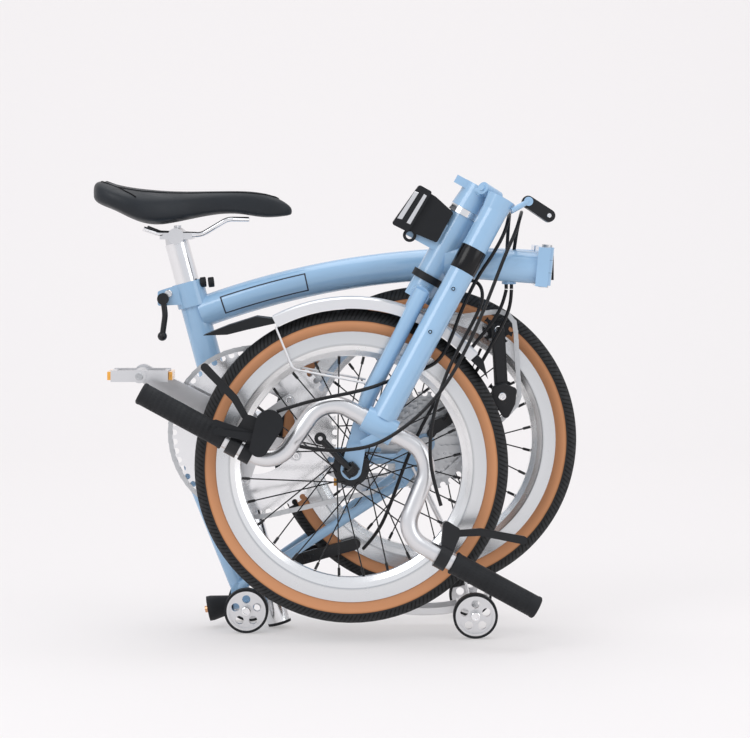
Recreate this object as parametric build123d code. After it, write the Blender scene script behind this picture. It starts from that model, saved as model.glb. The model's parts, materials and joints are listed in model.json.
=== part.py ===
"""Folding bicycle, stowed on its four luggage rollers.

Millimetres. +X points to the riding front of the main frame, +Z is up, and the drive side is -Y.
The origin lies on the ground, under the middle of the stowed package.
The rear frame is folded under the main frame, and the front frame is swung back to the drive side.
"""
from build123d import *
import math
import os

# ---------------------------------------------------------------- driving sizes
ORIGIN_X = -54.5            # middle of the stowed package in layout coordinates
ORIGIN_Y = -39.6

RIM_R = 180.0               # outer radius of the rims
RIM_IN_R = 147.0            # inner radius of the deep rims
RIM_W = 23.0
TYRE_R = 209.5              # outer radius of the tyres
TYRE_W = 35.0
GUARD_R = 226.0             # outer radius of both mudguards
GUARD_T = 1.6
GUARD_W = 50.0
SPOKE_COUNT = 28
SPOKE_R = 0.9
FLANGE_R = 24.0

FRONT_WHEEL = (-31.5, 232.9)     # x, z of the front wheel's centre
REAR_WHEEL = (67.9, 258.6)
FRONT_Y = -115.0                 # plane of the front wheel; the rear wheel lies in plane 0
BB = (-163.6, 271.7)             # bottom bracket
PIVOT = (-251.8, 242.0)          # rear frame pivot

SEAT_ANGLE = 74.85               # seat tube from the horizontal, degrees
SEAT_BOTTOM = (-193.7, 236.0)    # lower end of the seat tube
SEAT_TUBE_L = 247.0
SEAT_TUBE_R = 18.5
POST_R = 16.5
POST_L = 539.0
RUNNING_GAP = 0.05               # radial clearance of a shaft in its bore
SEAT_GAP = 0.3                   # clearance of pieces of different bodies that rest together

MAIN_TUBE_R = 21.5
MAIN_TUBE = ((-240.0, 432.0), (-5.0, 490.5), (216.0, 497.2))
HINGE_X = 230.6
HINGE_Z = 498.0
HINGE_TILT = 5.7                 # top of the main hinge pin leans forward, degrees
HINGE_H = 52.0
HINGE_PIN_R = 4.0
KNUCKLE_R = 10.0
PLATE_T = 16.0

STEER_ANGLE = 61.0
STEER_POINT = (99.5, 534.2)      # a point on the steering axis
HEAD_TUBE = (-53.0, 37.0)        # ends of the head tube along the steering axis from that point
HEAD_TUBE_R = 19.0
STEERER_R = 14.0
CUP_R = 23.0

BAR_CENTRE = (5.5, -177.0, 292.4)
BAR_R = 11.5
BAR_CLAMP_R = 12.7
BAR_HALF = 291.0
BAR_RISE = 111.0
GRIP_R = 15.0
GRIP_L = 122.0
HANDLEPOST_R = 17.0
HANDLEPOST_OFFSET = 32.0         # of the stowed handlepost from the steering axis, across and outwards
BOSS_PITCH = 64.0
BOSS_HOLE_R = 2.1
BOSS_HOLE_L = 10.0

CRANK_L = 170.0
CRANK_IN = 66.2                   # near and far face of both crank arms from plane 0
CRANK_OUT = 77.4
CRANK_ANGLE = 151.0              # drive side crank in the stowed pose, degrees above +X
CHAINRING_TEETH = 54
SPROCKET_TEETH = (32, 28, 26, 24, 22, 19, 15, 11)
SPROCKET_PITCH_Y = 4.0
ENGAGED = 4                      # index of the sprocket that holds the chain
CHAIN_PITCH = 12.7
CHAIN_Y = -47.0
PULLEY_TEETH = 9
BOLT_CIRCLE_R = 65.0

ROLLER_R = 30.0
ROLLER_W = 14.0
REAR_ROLLERS = (-174.7, 50.0)    # x of the axle and distance of each roller from plane 0
FRONT_ROLLERS = (134.7, 94.0)
ROLLER_PIN_R = 4.0

CABLE_R = 2.4
CABLE_RING = (180.0, -85.0, 477.0)    # guide under the front frame tube


# ---------------------------------------------------------------- helpers
def pitch_radius(teeth):
    return CHAIN_PITCH / (2 * math.sin(math.pi / teeth))


def rod(start, end, radius, end_radius=None):
    start = Vector(*start)
    end = Vector(*end)
    plane = Plane(origin=start, z_dir=end - start)
    length = (end - start).length
    if end_radius is None:
        return Solid.make_cylinder(radius, length, plane)
    return Solid.make_cone(radius, end_radius, length, plane)


def cross_rod(point, y_from, y_to, radius):
    """Cylinder across the bicycle at an (x, z) point."""
    return rod((point[0], y_from, point[1]), (point[0], y_to, point[1]), radius)


def side_plane(y):
    """Sketch plane seen from the drive side: local x is +X, local y is +Z, the normal is -Y."""
    return Plane(origin=(0, y, 0), x_dir=(1, 0, 0), z_dir=(0, -1, 0))


def side_plate(outline, y_near, y_far, fillet_r=0):
    face = make_face(Polyline(*outline, close=True))
    if fillet_r:
        face = fillet(face.vertices(), fillet_r)
    return extrude(side_plane(y_far) * face, amount=y_far - y_near)


def hull_plate(circles, y_near, y_far):
    """Plate around circles given as (x, z, radius), joined by their outer tangents."""
    sketch = Sketch() + [Pos(x, z) * Circle(r) for x, z, r in circles]
    return extrude(side_plane(y_far) * make_hull(sketch.edges()), amount=y_far - y_near)


def bent_tube(points, radii, radius):
    """Round bar along straight runs joined by tangent arcs; one radius for each inner point."""
    path = FilletPolyline(*points, radius=radii)
    start = Plane(origin=path @ 0, z_dir=path % 0)
    return sweep(start * Circle(radius), path=path)


def run_arcs(points):
    """Arc radii for a limp line: 0.45 of the shorter run over the tangent of half the turn."""
    radii = []
    corners = [Vector(*p) for p in points]
    for before, here, after in zip(corners, corners[1:], corners[2:]):
        turn = math.radians((here - before).get_angle(after - here))
        shorter = min((here - before).length, (after - here).length)
        radii.append(0.45 * shorter / math.tan(turn / 2))
    return radii


def mirrored(points):
    """The same (radius, offset) points on the other half of a ring, in reverse order."""
    return [(radius, -offset) for radius, offset in reversed(points)]


def wheel_ring(centre, y, outline, arc=360.0, start=0.0):
    """Ring about a wheel's axle; the outline is (radius, offset across the wheel)."""
    plane = Plane(origin=(centre[0], y, centre[1]), x_dir=(1, 0, 0), z_dir=(0, 0, 1))
    face = plane * make_face(Polyline(*outline, close=True))
    axis = Axis((centre[0], y, centre[1]), (0, -1, 0))
    return revolve(face.rotate(axis, start), axis=axis, revolution_arc=arc)


def direction(angle):
    return Vector(math.cos(math.radians(angle)), 0, math.sin(math.radians(angle)))


seat_dir = direction(180 - SEAT_ANGLE)
seat_foot = Vector(SEAT_BOTTOM[0], 0, SEAT_BOTTOM[1])
steer_dir = direction(STEER_ANGLE)
across_dir = direction(STEER_ANGLE - 90)
hinge_dir = direction(90 - HINGE_TILT)
hinge_point = Vector(HINGE_X, FRONT_Y / 2, HINGE_Z)


def on_seat(distance, radius=0.0, y=0.0):
    """Point at a distance up the seat tube, a radius towards the front of it."""
    forward = Vector(seat_dir.Z, 0, -seat_dir.X)
    return seat_foot + seat_dir * distance + forward * radius + Vector(0, y, 0)


def on_steer(distance, across=0.0, y=0.0):
    """Point along the steering axis, a distance across it and y away from the front plane."""
    base = Vector(STEER_POINT[0], FRONT_Y + y, STEER_POINT[1])
    return base + steer_dir * distance + across_dir * across


# ---------------------------------------------------------------- wheels
def tyre(centre, y):
    bead = RIM_W / 2 - 2
    half = TYRE_W / 2
    near_side = [
        (RIM_R - 4, -bead), (RIM_R + 0.4, -bead), (RIM_R + 1, -bead - 3), (RIM_R + 7, -half + 1),
        (RIM_R + 14, -half), (TYRE_R - 8, -half + 3), (TYRE_R - 2, -half + 9), (TYRE_R, 0),
    ]
    inside = [
        (TYRE_R - 5.5, 0), (TYRE_R - 12.5, -half + 4.5), (RIM_R + 7, -half + 4), (RIM_R + 3, -bead + 2),
        (RIM_R - 4, -bead + 2),
    ]
    return wheel_ring(centre, y, near_side + mirrored(near_side[:-1]) + mirrored(inside[1:]) + inside)


def rim(centre, y):
    half = RIM_W / 2
    outline = [
        (RIM_R, -half), (RIM_R, -half + 1.6), (RIM_R - 7, -half + 1.6), (RIM_R - 8, 0),
        (RIM_R - 7, half - 1.6), (RIM_R, half - 1.6), (RIM_R, half), (RIM_R - 17, half),
        (RIM_R - 25, half - 2.2), (RIM_IN_R + 1, 5), (RIM_IN_R, 0), (RIM_IN_R + 1, -5),
        (RIM_R - 25, -half + 2.2), (RIM_R - 17, -half),
    ]
    return wheel_ring(centre, y, outline)


def spokes(centre, y, flange_y):
    """Crossed spokes, alternately from the outer and the inner side of each flange."""
    solids = []
    middle = Vector(centre[0], y, centre[1])
    per_flange = SPOKE_COUNT // 2
    for number in range(SPOKE_COUNT):
        side = 1 if number % 2 else -1
        place = number // 2
        lead = 1 if place % 2 else -1
        rim_angle = (number + 0.5) * 360 / SPOKE_COUNT
        hub_angle = rim_angle + lead * 2.6 * 360 / per_flange * 0.9
        hub_y = side * (flange_y + (3.8 if lead > 0 else -2.6))
        head = middle + direction(hub_angle) * (FLANGE_R - 3.5) + Vector(0, hub_y, 0)
        nipple = middle + direction(rim_angle) * (RIM_IN_R - 0.5) + Vector(0, side * 1.5, 0)
        solids.append(rod(head, nipple, SPOKE_R))
        along = (nipple - head).normalized()
        solids[-1] = solids[-1] + rod(nipple - along * 10, nipple, 1.9)
    return solids


def hub(centre, y, flange_y, barrel_r, length, bore_r):
    body = cross_rod(centre, y - length / 2, y + length / 2, 8.5)
    body += cross_rod(centre, y - flange_y, y + flange_y, barrel_r)
    for side in (-1, 1):
        body += cross_rod(centre, y + side * flange_y - 1.5, y + side * flange_y + 1.5, FLANGE_R)
    return body - cross_rod(centre, y - length, y + length, bore_r)


# ---------------------------------------------------------------- main frame
def hinge_half(side, ears):
    """Half of the main hinge: a plate on the tube end and its knuckles around the pin."""
    tube_y = FRONT_Y / 2 * (1 - side)
    inner = FRONT_Y / 2 + side * (KNUCKLE_R + 2)
    outer = tube_y + side * (MAIN_TUBE_R + 4)
    low, high = sorted((inner, outer))
    across = Plane(origin=hinge_point, x_dir=(0, 1, 0), z_dir=hinge_dir)
    plate = across * Pos((low + high - FRONT_Y) / 2, PLATE_T / 2 + SEAT_GAP / 2) * Box(
        high - low, PLATE_T, HINGE_H
    )
    half = plate
    for bottom, top in ears:
        knuckle = across * Pos(0, 0, (bottom + top) / 2) * Cylinder(KNUCKLE_R, top - bottom)
        arm = across * Pos(side * KNUCKLE_R, 6.15, (bottom + top) / 2) * Box(
            2 * KNUCKLE_R, 12, top - bottom
        )
        half += knuckle
        half += arm
    return half


def hinge_bore(radius):
    return rod(hinge_point - hinge_dir * HINGE_H, hinge_point + hinge_dir * HINGE_H, radius)


EAR = HINGE_H / 2
MAIN_EARS = ((-EAR, -EAR / 3 - 0.2), (EAR / 3 + 0.2, EAR))
FRONT_EARS = ((-EAR / 3 + 0.2, EAR / 3 - 0.2),)


def main_frame():
    start, middle, end = [(x, 0, z) for x, z in MAIN_TUBE]
    arch = ThreePointArc(start, middle, end)
    frame = sweep(Plane(origin=arch @ 0, z_dir=arch % 0) * Circle(MAIN_TUBE_R), path=arch)
    frame += rod(seat_foot, on_seat(SEAT_TUBE_L), SEAT_TUBE_R)
    frame += rod(on_seat(SEAT_TUBE_L - 34), on_seat(SEAT_TUBE_L), SEAT_TUBE_R + 3.5)
    frame += hinge_half(1, MAIN_EARS)
    frame += cross_rod(BB, -34, 34, 22)
    frame += side_plate([(-214, 246), (-163, 250), (-163, 294), (-206, 330)], -14, 14)
    frame += cross_rod(PIVOT, -22, 22, 15)
    frame += hull_plate([(PIVOT[0], PIVOT[1], 13), (-206, 244, 8), (-214, 282, 8)], -16, 16)
    for side in (-1, 1):
        frame += side_plate(
            [(-262, 444), (-298, 442), (-298, 462), (-266, 472)], side * 12 - 5, side * 12 + 5, 3
        )
    frame -= rod(on_seat(-60), on_seat(SEAT_TUBE_L + 60), POST_R + RUNNING_GAP)
    frame -= cross_rod(BB, -40, 40, 10 + RUNNING_GAP)
    frame -= cross_rod(PIVOT, -40, 40, 5 + RUNNING_GAP)
    frame -= hinge_bore(HINGE_PIN_R + RUNNING_GAP)
    frame -= cross_rod((-290, 452), -30, 30, 3 + RUNNING_GAP)
    return frame


def main_hinge_pin():
    pin = rod(hinge_point - hinge_dir * (EAR + 3), hinge_point + hinge_dir * (EAR + 3), HINGE_PIN_R)
    for end in (-1, 1):
        seat = hinge_point + hinge_dir * (end * EAR)
        pin += rod(seat, seat + hinge_dir * (end * 3), 7)
    return pin


def pivot_bolt():
    bolt = cross_rod(PIVOT, -44, 44, 5)
    for side in (-1, 1):
        low, high = sorted((side * 40, side * 45))
        bolt += cross_rod(PIVOT, low, high, 9)
    return bolt


def seat_lever():
    pin = cross_rod((-290, 452), -21, 21, 3)
    blade = bent_tube(
        [(-290, -22, 452), (-287, -24, 430), (-291, -24, 401)], [40], 4
    )
    return pin + cross_rod((-290, 452), -27, -17.5, 8) + blade + Pos(-291, -24, 401) * Sphere(6.5)


def clamp_knob():
    """Main hinge clamp: a screw through the free edge of the plate, with its wing knob."""
    y = MAIN_TUBE_R + 12
    screw = rod((HINGE_X - 30, y, HINGE_Z), (HINGE_X + 8, y, HINGE_Z), 4)
    knob = rod((HINGE_X + 1, y, HINGE_Z), (HINGE_X + 13, y, HINGE_Z), 8)
    wing = Pos(HINGE_X + 13, y, HINGE_Z) * Box(9, 9, 44)
    jaw = rod((HINGE_X - 26, y, HINGE_Z), (HINGE_X - 18, y, HINGE_Z), y - MAIN_TUBE_R - 0.5)
    return screw + knob + wing + jaw


# ---------------------------------------------------------------- seat
def seat_post():
    tube = rod(on_seat(SEAT_TUBE_L + 56 - POST_L), on_seat(SEAT_TUBE_L + 56), POST_R)
    return tube - rod(
        on_seat(SEAT_TUBE_L + 50 - POST_L), on_seat(SEAT_TUBE_L + 50), POST_R - 2.2
    )


def post_foot():
    end = SEAT_TUBE_L + 56 - POST_L
    foot = rod(on_seat(end - 4), on_seat(end), POST_R - 0.5)
    return foot + rod(on_seat(end), on_seat(end + 22), POST_R - 2.2 - RUNNING_GAP)


SADDLE_SIDE = [
    (-386.5, 595), (-374, 614), (-350, 606), (-318, 603), (-283, 599.6), (-165, 599.6),
    (-136, 593), (-113.5, 574), (-116, 567), (-158, 561.5), (-176, 569), (-209, 568.5), (-253, 560),
    (-292, 552), (-318, 552), (-356, 577),
]
SADDLE_PLAN = [
    (-386.5, 44), (-380, 60), (-350, 73), (-322, 72), (-285, 56), (-250, 36), (-215, 26),
    (-160, 21), (-125, 18), (-113.5, 8),
]


def saddle():
    side = side_plate(SADDLE_SIDE, -90, 90)
    outline = SADDLE_PLAN + [(x, -y) for x, y in reversed(SADDLE_PLAN)]
    plan = extrude(Pos(0, 0, 540) * make_face(Polyline(*outline, close=True)), amount=90)
    return side & plan


def saddle_rails():
    rails = []
    for side in (-1, 1):
        route = [
            (-316, side * 34, 548.2), (-298, side * 28, 541.5), (-238, side * 22, 539.5),
            (-202, side * 19, 561), (-174, side * 8, 560.5),
        ]
        rails.append(bent_tube(route, [14, 25, 22], 3.5))
    return rails


def saddle_clamp():
    top = on_seat(SEAT_TUBE_L + 56)
    clamp = rod(top, top + seat_dir * 12, POST_R - 1, 14)
    clamp += Pos(-272, 0, 538) * Box(44, 64, 9)
    clamp = clamp + cross_rod((-272, 538), -33, 33, 11)
    for side in (-1, 1):
        bolt = rod((-272, side * 14, 526), (-272, side * 14, 552), 4)
        clamp += bolt
    for side in (-1, 1):
        clamp -= rod((-320, side * 31.5, 540.4), (-220, side * 20.3, 538.9), 3.9)
        clamp -= rod((-300, side * 28.6, 541.6), (-236, side * 21.8, 539.4), 3.9)
    return clamp - rod(on_seat(SEAT_TUBE_L), top, POST_R + RUNNING_GAP)


# ---------------------------------------------------------------- front frame
def front_frame():
    frame = rod((HINGE_X - 15, FRONT_Y, HINGE_Z - 0.8), (92, FRONT_Y, 507), MAIN_TUBE_R)
    frame += hinge_half(-1, FRONT_EARS)
    frame += rod(on_steer(HEAD_TUBE[0]), on_steer(HEAD_TUBE[1]), HEAD_TUBE_R)
    frame += Pos(*CABLE_RING) * Cylinder(9.6, 5) + Pos(180, FRONT_Y + 18, 481) * Box(8, 14, 12)
    frame += Pos(69, FRONT_Y, 548) * Rot(0, 90 - STEER_ANGLE, 0) * Box(44, 30, 38)
    frame -= rod(on_steer(-80), on_steer(60), STEERER_R + RUNNING_GAP)
    frame -= hinge_bore(HINGE_PIN_R + RUNNING_GAP)
    frame -= Pos(*CABLE_RING) * Cylinder(6.4, 10)
    return frame


def luggage_block():
    plate = side_plate(
        [(22, 556), (59, 608), (76, 598.5), (44, 545)], FRONT_Y - 30, FRONT_Y + 30, 3
    )
    body = side_plate(
        [(38, 556), (68, 600), (81, 592), (104, 571), (82, 531), (51, 544)],
        FRONT_Y - 22, FRONT_Y + 22, 3,
    )
    body -= rod(on_steer(HEAD_TUBE[0]), on_steer(HEAD_TUBE[1]), HEAD_TUBE_R + RUNNING_GAP)
    block = plate + body
    for side in (-1, 1):
        block -= Pos(40, FRONT_Y + side * 14, 583) * Rot(0, -54, 0) * Box(50, 18, 9)
    block -= Pos(69, FRONT_Y, 548) * Rot(0, 90 - STEER_ANGLE, 0) * Box(44.6, 30.6, 38.6)
    block += Pos(46, FRONT_Y - 18, 541) * Rot(90, 0, 0) * (Cylinder(9, 4) - Cylinder(5, 4))
    return block


def headset_cups():
    gap = SEAT_GAP / 2
    lower = rod(on_steer(HEAD_TUBE[0] - 10), on_steer(HEAD_TUBE[0] - gap), CUP_R)
    upper = rod(on_steer(HEAD_TUBE[1] + gap), on_steer(HEAD_TUBE[1] + 9), CUP_R - 1)
    bore = rod(on_steer(-100), on_steer(90), STEERER_R + RUNNING_GAP)
    return [lower - bore, upper - bore]


# ---------------------------------------------------------------- fork
CROWN_TOP = HEAD_TUBE[0] - 10 - SEAT_GAP
BASE_LOW = HEAD_TUBE[1] + 9 + SEAT_GAP
CROWN_R = 19.0
BLADE_R = 10.0
HINGE_LEVEL = 82.0                 # parting plane of the handlepost hinge on the steering axis
POST_PIN_R = 4.0


def fork():
    body = rod(on_steer(CROWN_TOP), on_steer(HINGE_LEVEL - 18), STEERER_R)
    body += rod(on_steer(CROWN_TOP - 26), on_steer(CROWN_TOP), CROWN_R)
    for side in (-1, 1):
        crown = rod(on_steer(CROWN_TOP - 16), on_steer(CROWN_TOP - 20, 0, side * 35), 14, 12.5)
        blade = bent_tube(
            [
                on_steer(CROWN_TOP - 12, 0, side * 36.5), (-11, FRONT_Y + side * 33.5, 322),
                (-18, FRONT_Y + side * 33.5, 288),
            ],
            [90], BLADE_R,
        )
        body += crown
        body += blade
        body += hull_plate(
            [(-15, 302, 9.5), (FRONT_WHEEL[0], FRONT_WHEEL[1], 14)],
            *sorted((FRONT_Y + side * 38.2, FRONT_Y + side * 43.9)),
        )
    body -= cross_rod(FRONT_WHEEL, FRONT_Y - 60, FRONT_Y + 60, 4.6)
    return body



# ---------------------------------------------------------------- handlepost
post_top = on_steer(HINGE_LEVEL, HANDLEPOST_OFFSET, -HANDLEPOST_OFFSET)
bar_centre = Vector(*BAR_CENTRE)
post_dir = (bar_centre - post_top).normalized()
bar_dir = (across_dir - post_dir * across_dir.dot(post_dir)).normalized()
bar_out = post_dir.cross(bar_dir)
post_pin_dir = (post_dir - steer_dir).cross(bar_dir - Vector(0, 1, 0)).normalized()
upright_top = on_steer(HINGE_LEVEL)


def flat_part(vector, axis):
    return vector - axis * vector.dot(axis)


post_turn = flat_part(post_dir, post_pin_dir).get_angle(flat_part(steer_dir, post_pin_dir))
post_pin_point = (post_top + upright_top) * 0.5 + post_pin_dir.cross(upright_top - post_top) * (
    0.5 / math.tan(math.radians(post_turn / 2))
)
PIN_HALF = 17.0
MIDDLE_EAR = 6.0
EAR_R = 8.5


def pin_span(start, end, radius):
    return rod(post_pin_point + post_pin_dir * start, post_pin_point + post_pin_dir * end, radius)


def bar_at(along, rise, out=0.0):
    """Point from the handlebar's middle: along it, on from the handlepost, and outwards."""
    return bar_centre + bar_dir * along + post_dir * rise + bar_out * out


def bar_plane(out=0.0):
    return Plane(origin=bar_at(0, 0, out), x_dir=bar_dir, z_dir=bar_out)


def bar_hull(circles, out_from, out_to):
    """Plate parallel to the handlebar's plane around circles given as (along, rise, radius)."""
    sketch = Sketch() + [Pos(x, -z) * Circle(r) for x, z, r in circles]
    face = bar_plane(out_from) * make_hull(sketch.edges())
    return extrude(face, amount=out_to - out_from, dir=bar_out)


def stem_base():
    base = rod(on_steer(BASE_LOW), on_steer(HINGE_LEVEL - 16), CUP_R - 1, 20)
    base += rod(on_steer(HINGE_LEVEL - 16), on_steer(HINGE_LEVEL - 0.15), 20)
    base -= rod(on_steer(BASE_LOW - 5), on_steer(HINGE_LEVEL - 18), STEERER_R)
    for side in (-1, 1):
        low, high = sorted((side * (MIDDLE_EAR + 0.2), side * PIN_HALF))
        base += pin_span(low, high, EAR_R)
        foot = post_pin_point + post_pin_dir * (low + high) / 2 - steer_dir * 7
        inward = flat_part(upright_top - post_pin_point, post_pin_dir).normalized()
        base += rod(foot, foot + inward * 12, 5.2)
    base -= pin_span(-MIDDLE_EAR - 0.2, MIDDLE_EAR + 0.2, EAR_R + SEAT_GAP)
    base -= pin_span(-PIN_HALF - 5, PIN_HALF + 5, POST_PIN_R + RUNNING_GAP)
    plate = Plane(origin=on_steer(HINGE_LEVEL - 12), x_dir=across_dir, z_dir=steer_dir)
    base += plate * Pos(-24, 0, 6) * Box(18, 26, 11)
    return base


def handlepost_pin():
    return pin_span(-PIN_HALF - 2.5, PIN_HALF + 2.5, POST_PIN_R)


def handlepost():
    start = post_top + post_dir * 0.15
    post = rod(start, start + post_dir * 20, 20, HANDLEPOST_R)
    post += rod(start + post_dir * 16, bar_centre - post_dir * 10, HANDLEPOST_R)
    post += pin_span(-MIDDLE_EAR, MIDDLE_EAR, EAR_R)
    inward = flat_part(post_top - post_pin_point, post_pin_dir).normalized()
    foot = post_pin_point + post_dir * 5
    post += rod(foot, foot + inward * 12, 3.4)
    post += rod(bar_at(-22, 0), bar_at(22, 0), BAR_CLAMP_R + 5)
    post += Pos(bar_at(0, BAR_CLAMP_R + 7)) * Rot(0, STEER_ANGLE - 90, 0) * Box(30, 18, 12)
    for low, high in ((-PIN_HALF - 3, -MIDDLE_EAR), (MIDDLE_EAR, PIN_HALF + 3)):
        post -= pin_span(low, high, EAR_R + SEAT_GAP)
    post -= pin_span(-PIN_HALF - 5, PIN_HALF + 5, POST_PIN_R + RUNNING_GAP)
    post -= rod(bar_at(-40, 0), bar_at(40, 0), BAR_CLAMP_R + RUNNING_GAP)
    for hole in post_holes():
        post -= rod(hole, hole - bar_out * BOSS_HOLE_L, BOSS_HOLE_R)
    return post


def post_holes():
    """Mouths of the two threaded bosses, on the outer face of the handlepost."""
    middle = post_top + post_dir * 168
    face = bar_out * (HANDLEPOST_R + 0.5)
    return [middle + post_dir * (side * BOSS_PITCH / 2) + face for side in (-1, 1)]


def handlebar():
    corners = [(-BAR_HALF, BAR_RISE), (-94, BAR_RISE), (-82, 0), (82, 0), (94, BAR_RISE),
               (BAR_HALF, BAR_RISE)]
    bar = bent_tube([bar_at(*corner) for corner in corners], [34, 40, 40, 34], BAR_R)
    return bar + rod(bar_at(-28, 0), bar_at(28, 0), BAR_CLAMP_R)


def grip(side):
    start, end = BAR_HALF - GRIP_L, BAR_HALF + 4
    body = rod(bar_at(side * start, BAR_RISE), bar_at(side * end, BAR_RISE), GRIP_R)
    return body - rod(
        bar_at(side * (start - 5), BAR_RISE), bar_at(side * (BAR_HALF + 0.3), BAR_RISE),
        BAR_R + SEAT_GAP,
    )


LEVER_PIVOT = (153.0, 76.0)
LEVER_TIP = (237.0, 42.0)


def brake_body(side):
    body = rod(bar_at(side * 147, BAR_RISE), bar_at(side * 163, BAR_RISE), BAR_R + 5)
    x, z = LEVER_PIVOT
    body += bar_hull([(side * 155, 101, 8), (side * x, z, 8), (side * 139, 72, 5)], -9, 9)
    body -= bar_hull([(side * x, z, 9.5), (side * (x + 30), z - 12, 9.5)], -3.6, 3.6)
    body -= rod(bar_at(side * 140, BAR_RISE), bar_at(side * 170, BAR_RISE), BAR_R + RUNNING_GAP)
    return body + rod(bar_at(side * x, z, -9), bar_at(side * x, z, 9), 2.4)


def brake_lever(side):
    x, z = LEVER_PIVOT
    tip_x, tip_z = LEVER_TIP
    knee = (side * (x + 30), z - 17, 5)
    blade = bar_hull([(side * (x + 4), z - 1, 4.5), knee], -3.3, 3.3)
    blade += bar_hull([knee, (side * tip_x, tip_z, 5.5)], -3.3, 3.3)
    lever = blade + rod(bar_at(side * x, z, -3.3), bar_at(side * x, z, 3.3), 6.5)
    return lever - rod(bar_at(side * x, z, -8), bar_at(side * x, z, 8), 2.4 + RUNNING_GAP)


PADDLE_PIVOT = (-132.0, 90.0)


def shifter():
    body = rod(bar_at(-128, BAR_RISE), bar_at(-143, BAR_RISE), BAR_R + 4.5)
    body -= rod(bar_at(-120, BAR_RISE), bar_at(-150, BAR_RISE), BAR_R + RUNNING_GAP)
    x, z = PADDLE_PIVOT
    body += bar_hull([(-128, 66, 18), (-125, 100, 12)], 17, 21)
    body += bar_hull([(-128, 66, 18), (-125, 100, 12)], 30, 34)
    body += rod(bar_at(-118, 66, 17), bar_at(-118, 66, 34), 4)
    body += rod(bar_at(-132, 106, 12), bar_at(-132, 106, 33), 4)
    return body + rod(bar_at(x, z, 20), bar_at(x, z, 31), 2.4)


def paddle(number):
    x, z = PADDLE_PIVOT
    out = 21.3 + 4.4 * number
    blade = bar_hull([(x, z, 5.5), (x - 58 + 6 * number, z + 8 + 10 * number, 4)], out, out + 3.8)
    return blade - rod(bar_at(x, z, 18), bar_at(x, z, 33), 2.4 + RUNNING_GAP)


def post_lever():
    """Clamp lever of the handlepost hinge, on a stub at the outer side of the post's plate."""
    eye = post_lever_eye()
    along = (eye - bar_centre).dot(bar_dir)
    rise = (eye - bar_centre).dot(post_dir)
    lever = bar_hull([(along, rise, 8), (along + 33, rise + 3, 8.4)], -6.2, 6.2)
    return lever - rod(eye - bar_out * 20, eye + bar_out * 20, 3 + RUNNING_GAP)


def post_lever_eye():
    return post_top - post_dir * 12 + bar_dir * 33


def post_lever_stub():
    """Pin of the clamp lever and the two arms that hold it on the handlepost's flange."""
    eye = post_lever_eye()
    stub = rod(eye - bar_out * 12, eye + bar_out * 12, 3)
    for side in (-1, 1):
        end = eye + bar_out * (side * 10)
        stub += rod(end + post_dir * 21 - bar_dir * 13.5, end, 3.5)
        stub += rod(eye + bar_out * (side * 7.4), eye + bar_out * (side * 12.5), 6)
    return stub


# ---------------------------------------------------------------- front wheel fittings
def around(centre, angle, radius, y):
    point = Vector(centre[0], y, centre[1]) + direction(angle) * radius
    return point


def guard_ring(centre, y, radius, lip, start, end):
    half = GUARD_W / 2
    outline = [
        (radius - lip, -half), (radius - 2, -half), (radius, -half + 3), (radius, half - 3),
        (radius - 2, half), (radius - lip, half), (radius - lip, half - GUARD_T),
        (radius - 3, half - GUARD_T), (radius - GUARD_T, half - 3.6),
        (radius - GUARD_T, -half + 3.6), (radius - 3, -half + GUARD_T),
        (radius - lip, -half + GUARD_T),
    ]
    return wheel_ring(centre, y, outline, end - start, start)


def front_mudguard():
    guard = guard_ring(FRONT_WHEEL, FRONT_Y, GUARD_R, 15, 42, 117.7)
    guard += rod(
        around(FRONT_WHEEL, 68, GUARD_R - 1, FRONT_Y), around(FRONT_WHEEL, 68, 235.3, FRONT_Y), 5
    )
    stays = []
    for side in (-1, 1):
        y = FRONT_Y + side * (GUARD_W / 2 + 1.8)
        route = [(-131.5, y, 420), (-109, y, 364), (-12.6, FRONT_Y + side * 34, 346)]
        stays.append(bent_tube(route, [12], 1.5))
    return [guard] + stays


def mud_flaps():
    y_near, y_far = FRONT_Y - 22, FRONT_Y + 22
    rear = side_plate(
        [(-135.4, 430.2), (-158, 433), (-196, 421), (-228, 408), (-196, 409), (-168, 416), (-132.2, 424)],
        y_near, y_far,
    )
    front = side_plate([(135.4, 382.3), (144, 374), (150, 350), (143, 360), (127.1, 375)], y_near, y_far)
    return [rear, front]


def front_brake():
    centre = FRONT_WHEEL
    top = around(centre, 62, 239, FRONT_Y)
    pad = around(centre, 60, 171, FRONT_Y)
    parts = cross_rod((top.X, top.Z), FRONT_Y - 29.3, FRONT_Y + 29.3, 7)
    for side in (-1, 1):
        low, high = sorted((FRONT_Y + side * 25.5, FRONT_Y + side * 29.3))
        parts += hull_plate([(top.X, top.Z, 7), (pad.X, pad.Z, 7)], low, high)
        low, high = sorted((FRONT_Y + side * (RIM_W / 2 + 0.8), FRONT_Y + side * 29))
        parts += cross_rod((pad.X, pad.Z), low, high, 5)
    reach = (top - on_steer(0)).dot(across_dir) - CROWN_R - SEAT_GAP
    return parts + rod(top, top - across_dir * reach, 4)


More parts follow.
